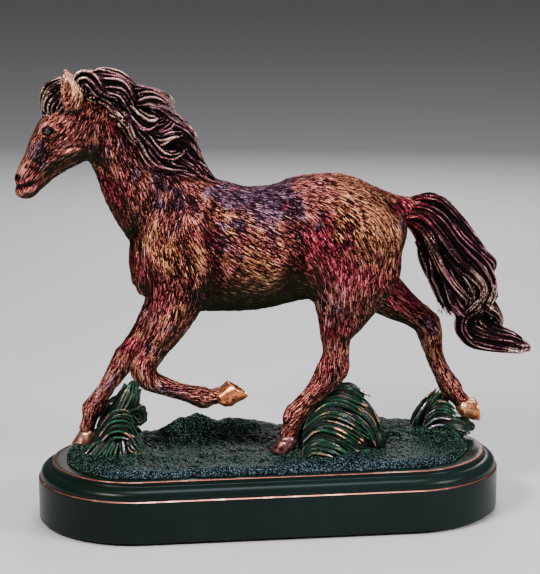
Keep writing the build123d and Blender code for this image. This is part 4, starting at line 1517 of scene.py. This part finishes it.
bronze = coat_bronze()
hair_bronze = hair_bronze_finish()
grass_green = grass_finish()
hoof_copper = hoof_finish()
eye_black = eye_finish()


def place(piece, slot, material, *nodes):
    piece.data.materials.append(material)
    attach(piece, "root")
    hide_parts(*nodes)


place(
    sculpt_horse(), "bronze", bronze, "torso", "head_neck", "near_fore_leg", "off_fore_leg",
    "near_hind_leg", "off_hind_leg", "near_ear", "off_ear",
)
place(make_mane(), "hair_bronze", hair_bronze, "mane")
place(make_forelock(), "hair_bronze", hair_bronze, "forelock")
place(make_tail(), "hair_bronze", hair_bronze, "tail")
place(make_fore_tuft(), "grass_green", grass_green, "fore_tuft")
place(make_near_hind_tuft(), "grass_green", grass_green, "near_hind_tuft")
place(make_off_hind_tuft(), "grass_green", grass_green, "off_hind_tuft")
place(make_ground(), "ground_green", ground_finish(), "ground")

plinth = make_plinth()
place(plinth, "black_lacquer", lacquer_finish(), "plinth")
plinth.data.materials.append(line_finish())
place(make_felt(), "felt", felt_finish(), "felt_pad")

# Each hoof: node, middle of the sole, which way the sole faces and the toe points, scale, violet toning,
# which is partly a painted reflection.
HOOVES = [
    ("near_fore", (-17.3, -16, 70.6), (0.56, 0.03, 0.83), (0.83, 0, -0.56), 1.06, 0.0),
    ("off_fore", (-93.2, 10, 35.0), (-0.12, 0, -1), (-1, 0, 0.1), 0.88, 0.35),
    ("near_hind", (6.3, -14, 35.0), (-0.12, 0, -1), (-1, 0, 0.1), 0.93, 0.75),
    ("off_hind", (113.5, 16, 46), (0.95, 0, 0.2), (0.1, 0, -1), 1.0, 0.0),
]
for leg, middle, sole, toe, scale, violet_tone_and_sheen in HOOVES:
    hoof = make_hoof(leg + "_hoof_shape", middle, sole, toe, scale, violet_tone_and_sheen)
    place(hoof, "hoof_copper", hoof_copper, leg + "_hoof")
place(make_eye("near_eye_ball", -1), "eye_black", eye_black, "near_eye")
place(make_eye("off_eye_ball", 1), "eye_black", eye_black, "off_eye")

steel = plain_metal("screw_steel", (0.30, 0.31, 0.33), (0.62, 0.63, 0.65), 0.32, (1, 1, 6))
brass = plain_metal("insert_brass", (0.45, 0.30, 0.08), (0.80, 0.62, 0.24), 0.30, (1, 1, 5))
for node, metal in (("plinth_screws", steel), ("leg_pins", steel), ("ground_inserts", brass)):
    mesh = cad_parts[node].data
    mesh.materials.clear()
    mesh.materials.append(metal)
